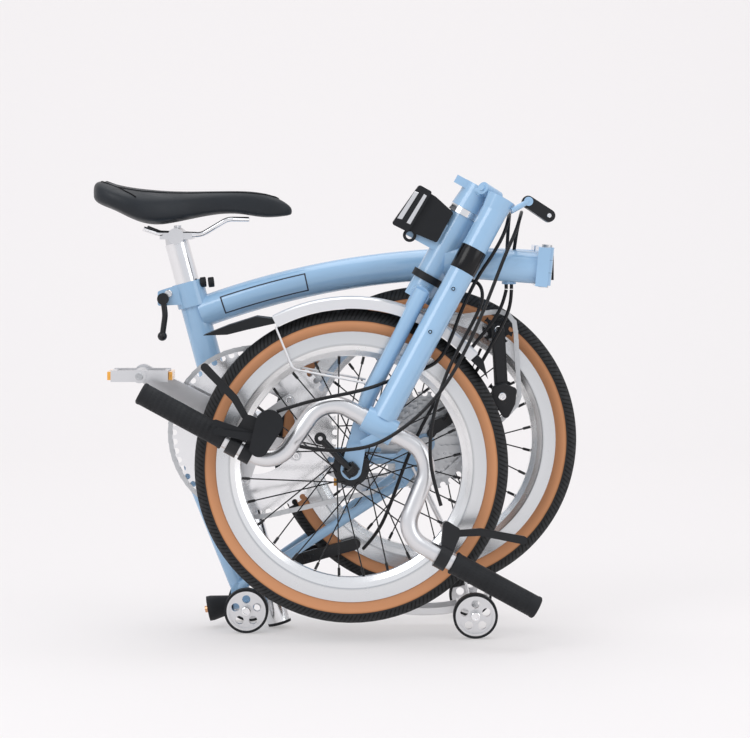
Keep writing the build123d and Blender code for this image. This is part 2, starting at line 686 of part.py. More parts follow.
def front_axle():
    axle = cross_rod(FRONT_WHEEL, FRONT_Y - 46, FRONT_Y + 46, 4.5)
    axle += cross_rod(FRONT_WHEEL, FRONT_Y + 44.3, FRONT_Y + 54, 10)
    for side in (-1, 1):
        low, high = sorted((FRONT_Y + side * 30.5, FRONT_Y + side * 37.9))
        axle += cross_rod(FRONT_WHEEL, low, high, 8)
    for side in (-1, 1):
        axle += Pos(FRONT_WHEEL[0], FRONT_Y - 51, FRONT_WHEEL[1]) * Rot(0, -44, 0) * Pos(
            side * 7.5, 0, 0
        ) * Box(4, 13, 14)
    axle += cross_rod(FRONT_WHEEL, FRONT_Y - 46.5, FRONT_Y - 44.3, 10)
    cam = lever_pin(FRONT_WHEEL, FRONT_Y - 53, 9.5, 2.2)
    return axle + cam


LEVER_LEAN = 134.0                # direction of the front wheel's quick-release lever


def lever_pin(centre, y, half, radius):
    middle = Vector(centre[0], y, centre[1])
    axis = direction(LEVER_LEAN - 90)
    return rod(middle - axis * half, middle + axis * half, radius)


def wheel_lever():
    y = FRONT_Y - 53
    start = Vector(FRONT_WHEEL[0], y, FRONT_WHEEL[1])
    lever = lever_pin(FRONT_WHEEL, y, 5, 5)
    lever += rod(start, start + direction(LEVER_LEAN) * 54, 4.2, 5)
    eye = start + direction(LEVER_LEAN) * 58
    lever += rod(eye - Vector(0, 3.5, 0), eye + Vector(0, 3.5, 0), 8)
    lever -= rod(eye - Vector(0, 9, 0), eye + Vector(0, 9, 0), 3)
    return lever - lever_pin(FRONT_WHEEL, y, 12, 2.2 + RUNNING_GAP)


# ---------------------------------------------------------------- rear frame
DROPOUT_Y = 60.0
REAR_LUG = (-186.0, 50.0)
block_dir = direction(191)
block_start = Vector(-196, 0, 31)


def rear_frame():
    frame = rod((PIVOT[0], 0, PIVOT[1] - 30), (REAR_LUG[0], 0, REAR_LUG[1]), 11)
    axle = (REAR_ROLLERS[0], ROLLER_R)
    for side in (-1, 1):
        frame += bent_tube(
            [
                (PIVOT[0], side * 32, PIVOT[1]), (-62, side * 32, 236), (0, side * 55, 236),
                (40, side * (DROPOUT_Y + 3), 238),
            ],
            [80, 60], 7,
        )
        frame += bent_tube(
            [
                (REAR_LUG[0], side * 8, REAR_LUG[1] + 6), (-150, side * 26, 81),
                (38, side * (DROPOUT_Y + 3), 207),
            ],
            [30], 6.5,
        )
        low, high = sorted((side * DROPOUT_Y, side * (DROPOUT_Y + 6)))
        frame += hull_plate(
            [(REAR_WHEEL[0], REAR_WHEEL[1], 13), (36, 238, 9), (36, 206, 8)], low, high
        )
        low, high = sorted((side * 23, side * 39))
        frame += cross_rod(PIVOT, low, high, 13)
        low, high = sorted((side * 23, side * 31))
        frame += hull_plate([(*PIVOT, 12), (PIVOT[0] + 3, PIVOT[1] - 36, 9)], low, high)
    frame += cross_rod((PIVOT[0] + 3, PIVOT[1] - 36), -29, 29, 8.5)
    frame += hull_plate([(REAR_LUG[0], REAR_LUG[1], 12), (axle[0], axle[1], 9)], -14, 14)
    frame += rod(block_start - block_dir * 14, block_start - block_dir * SEAT_GAP, 8)
    frame += cross_rod(axle, -30, 30, 8)
    frame -= cross_rod(axle, -60, 60, ROLLER_PIN_R + RUNNING_GAP)
    frame -= cross_rod(PIVOT, -60, 60, 5 + RUNNING_GAP)
    frame -= cross_rod(REAR_WHEEL, -90, 90, 5 + RUNNING_GAP)
    return frame


def roller_axles():
    pins = []
    for x, y in (REAR_ROLLERS, FRONT_ROLLERS):
        pin = cross_rod((x, ROLLER_R), -y - ROLLER_W / 2 - 3, y + ROLLER_W / 2 + 3, ROLLER_PIN_R)
        for side in (-1, 1):
            low, high = sorted((side * (y + ROLLER_W / 2 + 0.3), side * (y + ROLLER_W / 2 + 3)))
            pin += cross_rod((x, ROLLER_R), low, high, 6.5)
        pins.append(pin)
    return pins


def roller(axle, side):
    """Roller with spoked wheel and a separate rubber band."""
    x, offset = axle
    centre = (x, ROLLER_R)
    y = side * offset
    half = ROLLER_W / 2
    band_r = ROLLER_R - 3.5
    band = cross_rod(centre, y - half, y + half, ROLLER_R)
    band -= cross_rod(centre, y - half - 1, y + half + 1, band_r + 0.02)
    wheel = cross_rod(centre, y - half, y + half, band_r)
    wheel -= cross_rod(centre, y - half - 1, y - half + 3, band_r - 3)
    wheel -= cross_rod(centre, y + half - 3, y + half + 1, band_r - 3)
    for number in range(5):
        hole = around(centre, 90 + 72 * number, 15.5, 0)
        wheel -= cross_rod((hole.X, hole.Z), y - half - 1, y + half + 1, 5.6)
    wheel += cross_rod(centre, y - half, y + half, 8)
    return [band, wheel - cross_rod(centre, y - 20, y + 20, ROLLER_PIN_R + RUNNING_GAP)]


def suspension_block():
    wide = block_start + block_dir * 28
    return rod(block_start, wide, 12, 17) + rod(wide, wide + block_dir * 6, 17)


REAR_GUARD_R = 240.0


def rear_mudguard():
    guard = guard_ring(REAR_WHEEL, 0, REAR_GUARD_R, 10, -120, -77)
    bridge = around(REAR_WHEEL, -75.5, REAR_GUARD_R - 9, 0)
    guard += Pos(bridge) * Rot(0, -14, 0) * Box(26, 52, 7)
    axle = (FRONT_ROLLERS[0], ROLLER_R)
    for side in (-1, 1):
        guard += hull_plate([(*axle, 8), (bridge.X, bridge.Z, 4)], *sorted((side * 19, side * 26)))
    guard -= cross_rod(axle, -60, 60, ROLLER_PIN_R + RUNNING_GAP)
    stays = []
    for side in (-1, 1):
        route = [
            (bridge.X + 4, side * 28.3, bridge.Z + 3), (bridge.X - 6, side * 36, bridge.Z + 50),
            (50, side * (DROPOUT_Y + 10.3), 228),
        ]
        stays.append(bent_tube(route, [30], 2))
    return [guard] + stays


def rear_brake():
    centre = REAR_WHEEL
    top = around(centre, 223, 241, 0)
    pad = around(centre, 236, 171, 0)
    parts = cross_rod((top.X, top.Z), -27, 27, 8)
    for side in (-1, 1):
        low, high = sorted((side * 20, side * 27))
        parts += hull_plate([(top.X, top.Z, 8), (pad.X, pad.Z, 8)], low, high)
        low, high = sorted((side * (RIM_W / 2 + 0.8), side * 21))
        parts += cross_rod((pad.X, pad.Z), low, high, 5)
    return parts


def rear_axle():
    axle = cross_rod(REAR_WHEEL, -75, 75, 5)
    for side in (-1, 1):
        low, high = sorted((side * 66.3, side * 74))
        axle += cross_rod(REAR_WHEEL, low, high, 9)
    return axle


CAGE_LOW = (172.0, 322.0)
CAGE_HIGH = (167.0, 412.0)
PULLEY_PIN_R = 2.5


def derailleur():
    elbow = (CAGE_LOW[0] - 26, CAGE_LOW[1] - 12, 7)
    body = hull_plate([(82, 282, 9), (98, 290, 7)], -76, -61.5)
    body += hull_plate([(93, 288, 7), elbow], -63, -57)
    body += hull_plate([elbow, (*CAGE_LOW, 9)], -63, -57)
    body += hull_plate([(76, 272, 6), (84, 284, 6)], -70, -66.3)
    body += cross_rod(CAGE_LOW, -58, -40, PULLEY_PIN_R)
    return body + cross_rod(CAGE_LOW, -41.6, -40, 5)


def derailleur_cage():
    cage = []
    for low, high in ((-55.7, -53.2), (-44.4, -42)):
        plate = hull_plate([(*CAGE_LOW, 9), (*CAGE_HIGH, 9)], low, high)
        slot = hull_plate(
            [(CAGE_LOW[0] - 1, CAGE_LOW[1] + 22, 4), (CAGE_HIGH[0] + 1, CAGE_HIGH[1] - 18, 4)],
            low - 1, high + 1,
        )
        cage.append(plate - slot - cross_rod(CAGE_LOW, -60, -30, PULLEY_PIN_R + RUNNING_GAP))
    joined = cage[0] + cage[1] + cross_rod(CAGE_HIGH, -55, -42.5, PULLEY_PIN_R)
    return joined


def toothed_disc(centre, y, teeth, thickness, hole_r):
    ring = Circle(pitch_radius(teeth) + 2.6)
    cuts = PolarLocations(pitch_radius(teeth), teeth) * Circle(4.0)
    face = Pos(*centre) * (Sketch() + ring - cuts - Circle(hole_r))
    return extrude(side_plane(y + thickness / 2) * face, amount=thickness)


def pulley(centre):
    return toothed_disc(centre, CHAIN_Y, PULLEY_TEETH, 3, PULLEY_PIN_R + RUNNING_GAP)


def cassette():
    first = CHAIN_Y + ENGAGED * SPROCKET_PITCH_Y
    last = first - (len(SPROCKET_TEETH) - 1) * SPROCKET_PITCH_Y
    stack = cross_rod(REAR_WHEEL, last - 0.7, first + 1, 15)
    for number, teeth in enumerate(SPROCKET_TEETH):
        y = first - number * SPROCKET_PITCH_Y
        stack += toothed_disc(REAR_WHEEL, y, teeth, 2, 14)
    return stack - cross_rod(REAR_WHEEL, -80, 0, 8.5 + RUNNING_GAP)


# ---------------------------------------------------------------- drive
SPIDER_ANGLES = [CRANK_ANGLE + 72 * number + 36 for number in range(5)]


def crank_end(side):
    angle = CRANK_ANGLE if side < 0 else CRANK_ANGLE + 180
    return Vector(BB[0], 0, BB[1]) + direction(angle) * CRANK_L


def crankset():
    body = cross_rod(BB, -CRANK_OUT - 1, CRANK_OUT + 1, 10)
    for side in (-1, 1):
        end = crank_end(side)
        low, high = sorted((side * CRANK_IN, side * CRANK_OUT))
        body += hull_plate([(BB[0], BB[1], 17), (end.X, end.Z, 12)], low, high)
    for angle in SPIDER_ANGLES:
        bolt = around(BB, angle, BOLT_CIRCLE_R, 0)
        body += hull_plate([(BB[0], BB[1], 16), (bolt.X, bolt.Z, 7)], -54.5, -49.1)
        body += cross_rod((bolt.X, bolt.Z), -56, -44, 4)
    body += cross_rod(BB, -CRANK_IN - 0.5, -49.1, 20)
    for side in (-1, 1):
        low, high = sorted((side * 34.4, side * 37))
        body += cross_rod(BB, low, high, 18)
    for side in (-1, 1):
        end = crank_end(side)
        low, high = sorted((side * CRANK_IN, side * 140))
        body += cross_rod((end.X, end.Z), low, high, 4.5)
    return body


def chainring():
    ring = toothed_disc(BB, CHAIN_Y, CHAINRING_TEETH, 4, 57)
    for angle in SPIDER_ANGLES:
        bolt = around(BB, angle, BOLT_CIRCLE_R, 0)
        ring -= cross_rod((bolt.X, bolt.Z), -60, -40, 4.02)
    return ring


def pedal(side):
    end = crank_end(side)
    low, high = sorted((side * (CRANK_OUT + 1.6), side * 142))
    middle = (low + high) / 2
    body = cross_rod((end.X, end.Z), low, high, 9)
    for y in (middle - 26, middle + 26):
        body += Pos(end.X, y, end.Z) * Box(76, 7, 15)
    for x in (-35, 35):
        body += Pos(end.X + x, middle, end.Z) * Box(6, 58, 13)
    return body - cross_rod((end.X, end.Z), low - 1, high + 1, 4.5 + RUNNING_GAP)


def pedal_reflectors(side):
    end = crank_end(side)
    middle = side * 110
    return [Pos(end.X + x, middle, end.Z) * Box(5, 44, 11) for x in (-40.8, 40.8)]


def chain():
    circles = [
        (*BB, pitch_radius(CHAINRING_TEETH)), (*CAGE_HIGH, pitch_radius(PULLEY_TEETH)),
        (*CAGE_LOW, pitch_radius(PULLEY_TEETH)),
        (*REAR_WHEEL, pitch_radius(SPROCKET_TEETH[ENGAGED])),
    ]
    outer = hull_plate([(x, z, r + 8) for x, z, r in circles], CHAIN_Y - 2.5, CHAIN_Y + 2.5)
    inner = hull_plate([(x, z, r + 3) for x, z, r in circles], CHAIN_Y - 4, CHAIN_Y + 4)
    return outer - inner


# ---------------------------------------------------------------- cables
BAR_ROUTES = [
    [
        (-128, -194, 312), (-98, -194, 322), (-64, -192, 330), (-30, -185, 336), (-4, -172.5, 342),
        (10, -163.5, 346.5), (25, -152.6, 351.3), (48, -149.2, 358.7), (66, -147.6, 364.5),
        (86, -147, 376), (101, -147, 405), (113, -147, 440), (134, -148, 484),
        (156, -149, 516), (172, -145, 545), (178, -131, 567), (180, -110, 571), (179, -92, 553),
        (177.5, -86, 522), (176.5, -85, 492), (176.5, -85, 468),
    ],
    [
        (-98, -206, 268), (-70, -202, 262), (-36, -200, 262), (-2, -203, 268), (30, -206, 286),
        (62, -206, 312), (92, -200, 346), (118, -184, 390), (140, -168, 436), (158, -158, 480),
        (172, -155, 516), (186, -149, 546), (194, -133, 569), (196, -110, 573), (192, -92, 554),
        (187, -87, 522), (183.5, -85, 492), (183.5, -85, 468),
    ],
    [
        (86, -200, 190), (76, -200, 222), (71, -199, 256), (73, -197, 292), (82, -192, 330),
        (98, -183, 372), (118, -171, 408), (134, -160, 436), (143, -149, 458), (140, -141, 476),
        (126, -138.5, 483), (110, -138, 473), (98, -137.5, 460), (87, -137, 448),
    ],
]
FRAME_ROUTES = [
    [
        (183.5, -85, 467), (183, -84, 448), (174, -83, 424), (160, -81, 398), (142, -80, 366),
        (122, -79.5, 334), (104, -79.5, 306), (92, -79.5, 291),
    ],
    [
        (176.5, -85, 467), (172, -85, 446), (156, -84, 420), (134, -84, 394), (110, -84, 362),
        (84, -84, 322), (60, -84, 278), (40, -84, 232), (22, -78, 180), (4, -60, 136), (-16, -36, 112),
    ],
]


def cables(routes):
    tubes = []
    for route in routes:
        radii = run_arcs(route)
        print("cable arc radii", [round(radius) for radius in radii])
        tubes.append(bent_tube(route, radii, CABLE_R))
    return tubes


# ---------------------------------------------------------------- output
def build_nodes():
    nodes = {
        "main_frame": main_frame(),
        "hinge_pins": [main_hinge_pin(), pivot_bolt()],
        "seat_clamp_lever": seat_lever(),
        "main_hinge_clamp": clamp_knob(),
        "seatpost": seat_post(),
        "seatpost_foot": post_foot(),
        "saddle": saddle(),
        "saddle_rails": saddle_rails(),
        "saddle_clamp": saddle_clamp(),
        "front_frame": front_frame(),
        "luggage_block": luggage_block(),
        "headset_cups": headset_cups(),
        "fork": fork(),
        "stem_base": [stem_base(), handlepost_pin()],
        "handlepost": handlepost() + post_lever_stub(),
        "handlepost_clamp_lever": post_lever(),
        "handlebar": handlebar(),
        "left_grip": grip(-1),
        "right_grip": grip(1),
        "left_brake_body": brake_body(-1),
        "right_brake_body": brake_body(1),
        "left_brake_lever": brake_lever(-1),
        "right_brake_lever": brake_lever(1),
        "gear_shifter": shifter(),
        "shift_up_paddle": paddle(0),
        "shift_down_paddle": paddle(1),
        "front_tyre": tyre(FRONT_WHEEL, FRONT_Y),
        "front_rim": rim(FRONT_WHEEL, FRONT_Y),
        "front_spokes": spokes(FRONT_WHEEL, FRONT_Y, 26),
        "front_hub": hub(FRONT_WHEEL, FRONT_Y, 26, 14, 60, 4.5 + RUNNING_GAP),
        "front_axle": front_axle(),
        "front_wheel_lever": wheel_lever(),
        "front_mudguard": front_mudguard(),
        "mud_flaps": mud_flaps(),
        "front_brake": front_brake(),
        "rear_frame": rear_frame(),
        "suspension_block": suspension_block(),
        "rear_mudguard": rear_mudguard(),
        "rear_brake": rear_brake(),
        "rear_axles": [rear_axle()] + roller_axles(),
        "derailleur": derailleur(),
        "derailleur_cage": derailleur_cage(),
        "guide_pulley": pulley(CAGE_HIGH),
        "tension_pulley": pulley(CAGE_LOW),
        "rear_tyre": tyre(REAR_WHEEL, 0),
        "rear_rim": rim(REAR_WHEEL, 0),
        "rear_spokes": spokes(REAR_WHEEL, 0, 24),
        "rear_hub": hub(REAR_WHEEL, 0, 24, 16, 118, 5 + RUNNING_GAP),
        "cassette": cassette(),
        "crankset": crankset(),
        "chainring": chainring(),
        "right_pedal": [pedal(-1)] + pedal_reflectors(-1),
        "left_pedal": [pedal(1)] + pedal_reflectors(1),
        "chain": chain(),
        "bar_cables": cables(BAR_ROUTES),
        "frame_cables": cables(FRAME_ROUTES),
    }
    for name, axle in (("rear", REAR_ROLLERS), ("front", FRONT_ROLLERS)):
        for side, word in ((-1, "right"), (1, "left")):
            nodes[f"{name}_{word}_roller"] = roller(axle, side)
    return nodes


def main():
    os.makedirs("parts", exist_ok=True)
    to_origin = Pos(-ORIGIN_X, -ORIGIN_Y, 0)
    for name, shape in build_nodes().items():
        solids = []
        for piece in shape if isinstance(shape, list) else [shape]:
            solids += piece.solids()
        export_step(Compound(children=[to_origin * solid for solid in solids]), f"parts/{name}.step")


if __name__ == "__main__":
    main()
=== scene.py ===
"""Looks of the folding bicycle: materials for the CAD nodes, and detailed pieces for plain ones."""
import json
import math

import bmesh
import bpy
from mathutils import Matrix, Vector


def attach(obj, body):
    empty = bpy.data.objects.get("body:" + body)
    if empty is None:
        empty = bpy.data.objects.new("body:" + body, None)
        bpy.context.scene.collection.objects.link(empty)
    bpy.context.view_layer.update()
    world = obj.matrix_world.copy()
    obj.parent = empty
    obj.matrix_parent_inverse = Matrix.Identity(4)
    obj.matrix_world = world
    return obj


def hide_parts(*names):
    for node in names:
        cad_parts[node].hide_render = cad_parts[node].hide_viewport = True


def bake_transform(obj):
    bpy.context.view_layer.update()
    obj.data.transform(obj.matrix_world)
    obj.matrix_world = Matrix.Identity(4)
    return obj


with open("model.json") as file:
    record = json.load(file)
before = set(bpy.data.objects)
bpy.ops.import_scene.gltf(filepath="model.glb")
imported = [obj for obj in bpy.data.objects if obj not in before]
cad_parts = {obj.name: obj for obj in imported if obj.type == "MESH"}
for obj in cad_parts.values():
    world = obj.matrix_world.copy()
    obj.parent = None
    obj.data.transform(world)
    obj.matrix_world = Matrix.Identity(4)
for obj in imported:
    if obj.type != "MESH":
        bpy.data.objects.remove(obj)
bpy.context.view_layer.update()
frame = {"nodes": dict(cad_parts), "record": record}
nodes = frame["nodes"]

SHIFT = Vector((54.5, 39.6, 0.0))      # from layout millimetres to the row frame


def at(x, y, z):
    """A layout point in millimetres, as metres in the row frame."""
    return (Vector((x, y, z)) + SHIFT) / 1000


FRONT_Y = -115.0
FRONT_WHEEL = (-31.5, 232.9)
REAR_WHEEL = (67.9, 258.6)
BB = (-163.6, 271.7)
CRANK_L = 170
CRANK_ANGLES = {-1: 151, 1: 331}           # by side, degrees above +X
ROLLERS = {"rear": (-174.7, 30), "front": (134.7, 30)}


# ---------------------------------------------------------------- materials
class Shader:
    """A Principled material with small helpers for its node tree."""

    def __init__(self, name, colour, rough=0.4, metal=0.0, **sockets):
        self.material = bpy.data.materials.new(name)
        self.material.use_nodes = True
        self.tree = self.material.node_tree
        self.shader = self.tree.nodes["Principled BSDF"]
        self.set("Base Color", (*colour, 1.0))
        self.set("Roughness", rough)
        self.set("Metallic", metal)
        for socket, value in sockets.items():
            self.set(socket.replace("_", " "), value)
        self.colour = colour
        self.rough = rough
        self.height = None

    def set(self, socket, value):
        self.shader.inputs[socket].default_value = value

    def node(self, kind, **values):
        made = self.tree.nodes.new(kind)
        for key, value in values.items():
            if key in made.inputs:
                made.inputs[key].default_value = value
            else:
                setattr(made, key, value)
        return made

    def link(self, start, end):
        self.tree.links.new(start, end)

    def coords(self, scale=(1, 1, 1), centre=(0, 0, 0)):
        coord = self.node("ShaderNodeTexCoord")
        mapping = self.node("ShaderNodeMapping")
        mapping.inputs["Scale"].default_value = scale
        mapping.inputs["Location"].default_value = [-c * s for c, s in zip(centre, scale)]
        self.link(coord.outputs["Object"], mapping.inputs["Vector"])
        return mapping.outputs["Vector"]

    def noise(self, scale, detail=3.0, stretch=(1, 1, 1), vector=None):
        tex = self.node("ShaderNodeTexNoise", Scale=scale, Detail=detail)
        self.link(vector or self.coords(stretch), tex.inputs["Vector"])
        return tex.outputs["Fac"]

    def math(self, operation, a, b=None):
        made = self.node("ShaderNodeMath", operation=operation)
        for socket, value in zip(made.inputs, (a, b)):
            if value is None:
                continue
            if isinstance(value, (int, float)):
                socket.default_value = value
            else:
                self.link(value, socket)
        return made.outputs[0]

    def ramp(self, fac, stops):
        made = self.node("ShaderNodeValToRGB")
        elements = made.color_ramp.elements
        while len(elements) < len(stops):
            elements.new(0.5)
        for element, (place, colour) in zip(elements, stops):
            element.position = place
            element.color = (*colour, 1.0) if len(colour) == 3 else colour
        self.link(fac, made.inputs["Fac"])
        return made.outputs["Color"]

    def tint(self, scale, amount, stretch=(1, 1, 1)):
        """Slow change of the base colour, darker and lighter by the amount."""
        dark = [max(0.0, c * (1 - amount)) for c in self.colour]
        light = [min(1.0, c * (1 + amount)) for c in self.colour]
        colour = self.ramp(self.noise(scale, 4, stretch), [(0.3, dark), (0.7, light)])
        self.link(colour, self.shader.inputs["Base Color"])
        return self

    def wear(self, scale, amount, stretch=(1, 1, 1)):
        """Change of roughness by the amount, as handling and polish leave it."""
        spread = self.node("ShaderNodeMapRange")
        spread.inputs["From Min"].default_value = 0.3
        spread.inputs["From Max"].default_value = 0.7
        spread.inputs["To Min"].default_value = max(0.02, self.rough - amount)
        spread.inputs["To Max"].default_value = min(1.0, self.rough + amount)
        self.link(self.noise(scale, 5, stretch), spread.inputs["Value"])
        self.link(spread.outputs["Result"], self.shader.inputs["Roughness"])
        return self

    def bump(self, height, strength, distance):
        made = self.node("ShaderNodeBump", Strength=strength, Distance=distance)
        self.link(height, made.inputs["Height"])
        if self.height is not None:
            self.link(self.height, made.inputs["Normal"])
        self.height = made.outputs["Normal"]
        self.link(self.height, self.shader.inputs["Normal"])
        return self

    def grain(self, scale, strength, distance=0.0004, stretch=(1, 1, 1)):
        return self.bump(self.noise(scale, 3, stretch), strength, distance)

    def polar(self, centre):
        """Distance in metres and angle in radians from an axle that runs across the bicycle."""
        coord = self.node("ShaderNodeTexCoord")
        split = self.node("ShaderNodeSeparateXYZ")
        self.link(coord.outputs["Object"], split.inputs["Vector"])
        hub = at(centre[0], 0, centre[1])
        x = self.math("SUBTRACT", split.outputs["X"], hub.x)
        z = self.math("SUBTRACT", split.outputs["Z"], hub.z)
        square = self.math("ADD", self.math("MULTIPLY", x, x), self.math("MULTIPLY", z, z))
        return self.math("SQRT", square), self.math("ARCTAN2", z, x)


def paint():
    made = Shader("pastel_blue_paint", (0.30, 0.485, 0.69), 0.2, Coat_Weight=0.7, Coat_Roughness=0.06)
    return made.tint(9, 0.05).wear(30, 0.05).grain(900, 0.05, 0.0002)


def polished(name, colour=(0.83, 0.83, 0.84), rough=0.2, stretch=(1, 1, 1)):
    made = Shader(name, colour, rough, 1.0)
    return made.tint(14, 0.025).wear(60, 0.03, stretch).grain(700, 0.05, 0.0002, stretch)


def black_metal(name="black_anodised", rough=0.32):
    made = Shader(name, (0.007, 0.0075, 0.009), rough, 0.0, Specular_IOR_Level=0.4)
    return made.tint(25, 0.25).wear(45, 0.08).grain(1400, 0.08, 0.0002)


def moulded(name, colour=(0.008, 0.009, 0.011), rough=0.5):
    made = Shader(name, colour, rough, Specular_IOR_Level=0.3)
    return made.tint(20, 0.15).wear(60, 0.08).grain(1800, 0.25, 0.0003)


def rim_metal(name, centre):
    """Turned brake track and brushed deep part of a rim."""
    made = Shader(name, (0.86, 0.86, 0.87), 0.26, 1.0)
    radius, angle = made.polar(centre)
    rings = made.node("ShaderNodeTexNoise", Scale=1.0, Detail=4.0)
    rings.noise_dimensions = "1D"
    made.link(made.math("MULTIPLY", radius, 2600.0), rings.inputs["W"])
    band = made.ramp(
        made.math("MULTIPLY", made.math("SUBTRACT", radius, 0.145), 28.0),
        [(0.0, (0.93, 0.93, 0.93)), (0.44, (0.90, 0.90, 0.90)), (0.48, (0.55, 0.56, 0.57)),
         (0.56, (0.74, 0.75, 0.76)), (0.95, (0.70, 0.71, 0.72))],
    )
    made.link(band, made.shader.inputs["Base Color"])
    made.wear(50, 0.015)
    return made.bump(rings.outputs["Fac"], 0.1, 0.0001)


SIPE_COUNT = 214.0            # grooves round the tread
SIPE_SLANT = 620.0            # radians of their turn for each metre of radius
TREAD_START = 0.1965          # radius in metres


def tyre_rubber(name, centre):
    """Black tread and a tan side wall, by the distance from the axle, with painted shade in the tread
    grooves.
    """
    made = Shader(name, (0.02, 0.02, 0.02), 0.7, Specular_IOR_Level=0.3)
    radius, angle = made.polar(centre)
    edge = made.math("ADD", radius, made.math("MULTIPLY", made.noise(60, 3), 0.0006))
    place = made.math("MULTIPLY", made.math("SUBTRACT", edge, 0.178), 31.0)
    wall = made.ramp(
        place,
        [(0.0, (0.34, 0.15, 0.06)), (0.1, (0.56, 0.26, 0.125)), (0.44, (0.60, 0.28, 0.135)),
         (0.51, (0.42, 0.18, 0.075)), (0.525, (0.018, 0.019, 0.02)), (1.0, (0.021, 0.022, 0.024))],
    )
    turn = made.math("ADD", made.math("MULTIPLY", angle, SIPE_COUNT),
                     made.math("MULTIPLY", radius, SIPE_SLANT))
    sipe_and_shade_mask = made.math("MULTIPLY", made.math("GREATER_THAN", made.math("SINE", turn), 0.45),
                     made.math("GREATER_THAN", radius, TREAD_START))
    # Painted shade: the grooves get a near-black colour, darker than the tread rubber round them.
    groove = made.node("ShaderNodeMixRGB", Color2=(0.002, 0.002, 0.002, 1.0))
    made.link(sipe_and_shade_mask, groove.inputs["Fac"])
    made.link(wall, groove.inputs["Color1"])
    made.link(groove.outputs["Color"], made.shader.inputs["Base Color"])
    made.bump(made.math("SUBTRACT", 1.0, sipe_and_shade_mask), 0.8, 0.001)
    made.wear(80, 0.1)
    threads = made.node("ShaderNodeTexWave", Scale=1.0, Distortion=0.6)
    mixed = made.node("ShaderNodeCombineXYZ")
    made.link(made.math("ADD", made.math("MULTIPLY", radius, 260.0),
                        made.math("MULTIPLY", angle, 60.0)), mixed.inputs["X"])
    made.link(mixed.outputs["Vector"], threads.inputs["Vector"])
    return made.bump(threads.outputs["Fac"], 0.12, 0.0003)


def leather():
    made = Shader("saddle_leather", (0.011, 0.014, 0.018), 0.44, Specular_IOR_Level=0.35)
    made.tint(18, 0.2).wear(40, 0.08)
    cells = made.node("ShaderNodeTexVoronoi", Scale=620.0)
    made.link(made.coords(), cells.inputs["Vector"])
    return made.bump(cells.outputs["Distance"], 0.3, 0.0004)


def perforated():
    """Saddle top with fine holes in rows."""
    made = Shader("saddle_top", (0.016, 0.019, 0.023), 0.55, Specular_IOR_Level=0.35)
    made.tint(18, 0.2)
    coord = made.node("ShaderNodeTexCoord")
    split = made.node("ShaderNodeSeparateXYZ")
    made.link(coord.outputs["Object"], split.inputs["Vector"])
    waves = [
        made.math("SINE", made.math("MULTIPLY", split.outputs[axis], 2 * math.pi / 0.0036))
        for axis in ("X", "Y")
    ]
    dots = made.math("GREATER_THAN", made.math("MULTIPLY", *waves), 0.55)
    made.bump(made.math("SUBTRACT", 1.0, dots), 0.6, 0.0006)
    return made.grain(900, 0.2)


PAINT = paint().material
POLISHED = polished("polished_aluminium", (0.86, 0.86, 0.87), 0.16).material
BRUSHED = polished("brushed_aluminium", (0.74, 0.74, 0.75), 0.32, (1, 1, 12)).material
STEEL = polished("machined_steel", (0.56, 0.57, 0.58), 0.3).material
CHROME = polished("chromed_steel", (0.9, 0.9, 0.91), 0.08).material
BLACK = black_metal().material
DARK_BOLT = black_metal("blackened_bolt", 0.25).material
PLASTIC = moulded("black_plastic").material
GLOSS = moulded("gloss_black", (0.004, 0.004, 0.005), 0.1).material
SOFT = moulded("soft_rubber", (0.011, 0.012, 0.014), 0.6).material
CABLE = moulded("cable_sheath", (0.006, 0.006, 0.007), 0.3).material
AMBER = Shader("amber_reflector", (0.95, 0.42, 0.05), 0.15, Coat_Weight=0.6).tint(40, 0.15).grain(
    900, 0.5, 0.0005).material
COPPER = polished("copper_bolt", (0.75, 0.42, 0.24), 0.25).material
LEATHER = leather().material
SADDLE_TOP = perforated().material
SEAM = moulded("seam_thread", (0.004, 0.004, 0.005), 0.7).material
SILVER = Shader("silver_mudguard", (0.80, 0.80, 0.81), 0.3, 0.7).tint(12, 0.012).wear(40, 0.02).grain(
    800, 0.05, 0.0002).material
OUTLINE = moulded("panel_outline", (0.03, 0.035, 0.05), 0.4).material
TREAD = {
    "front": tyre_rubber("front_tyre_rubber", FRONT_WHEEL).material,
    "rear": tyre_rubber("rear_tyre_rubber", REAR_WHEEL).material,
}
RIMS = {
    "front": rim_metal("front_rim_metal", FRONT_WHEEL).material,
    "rear": rim_metal("rear_rim_metal", REAR_WHEEL).material,
}

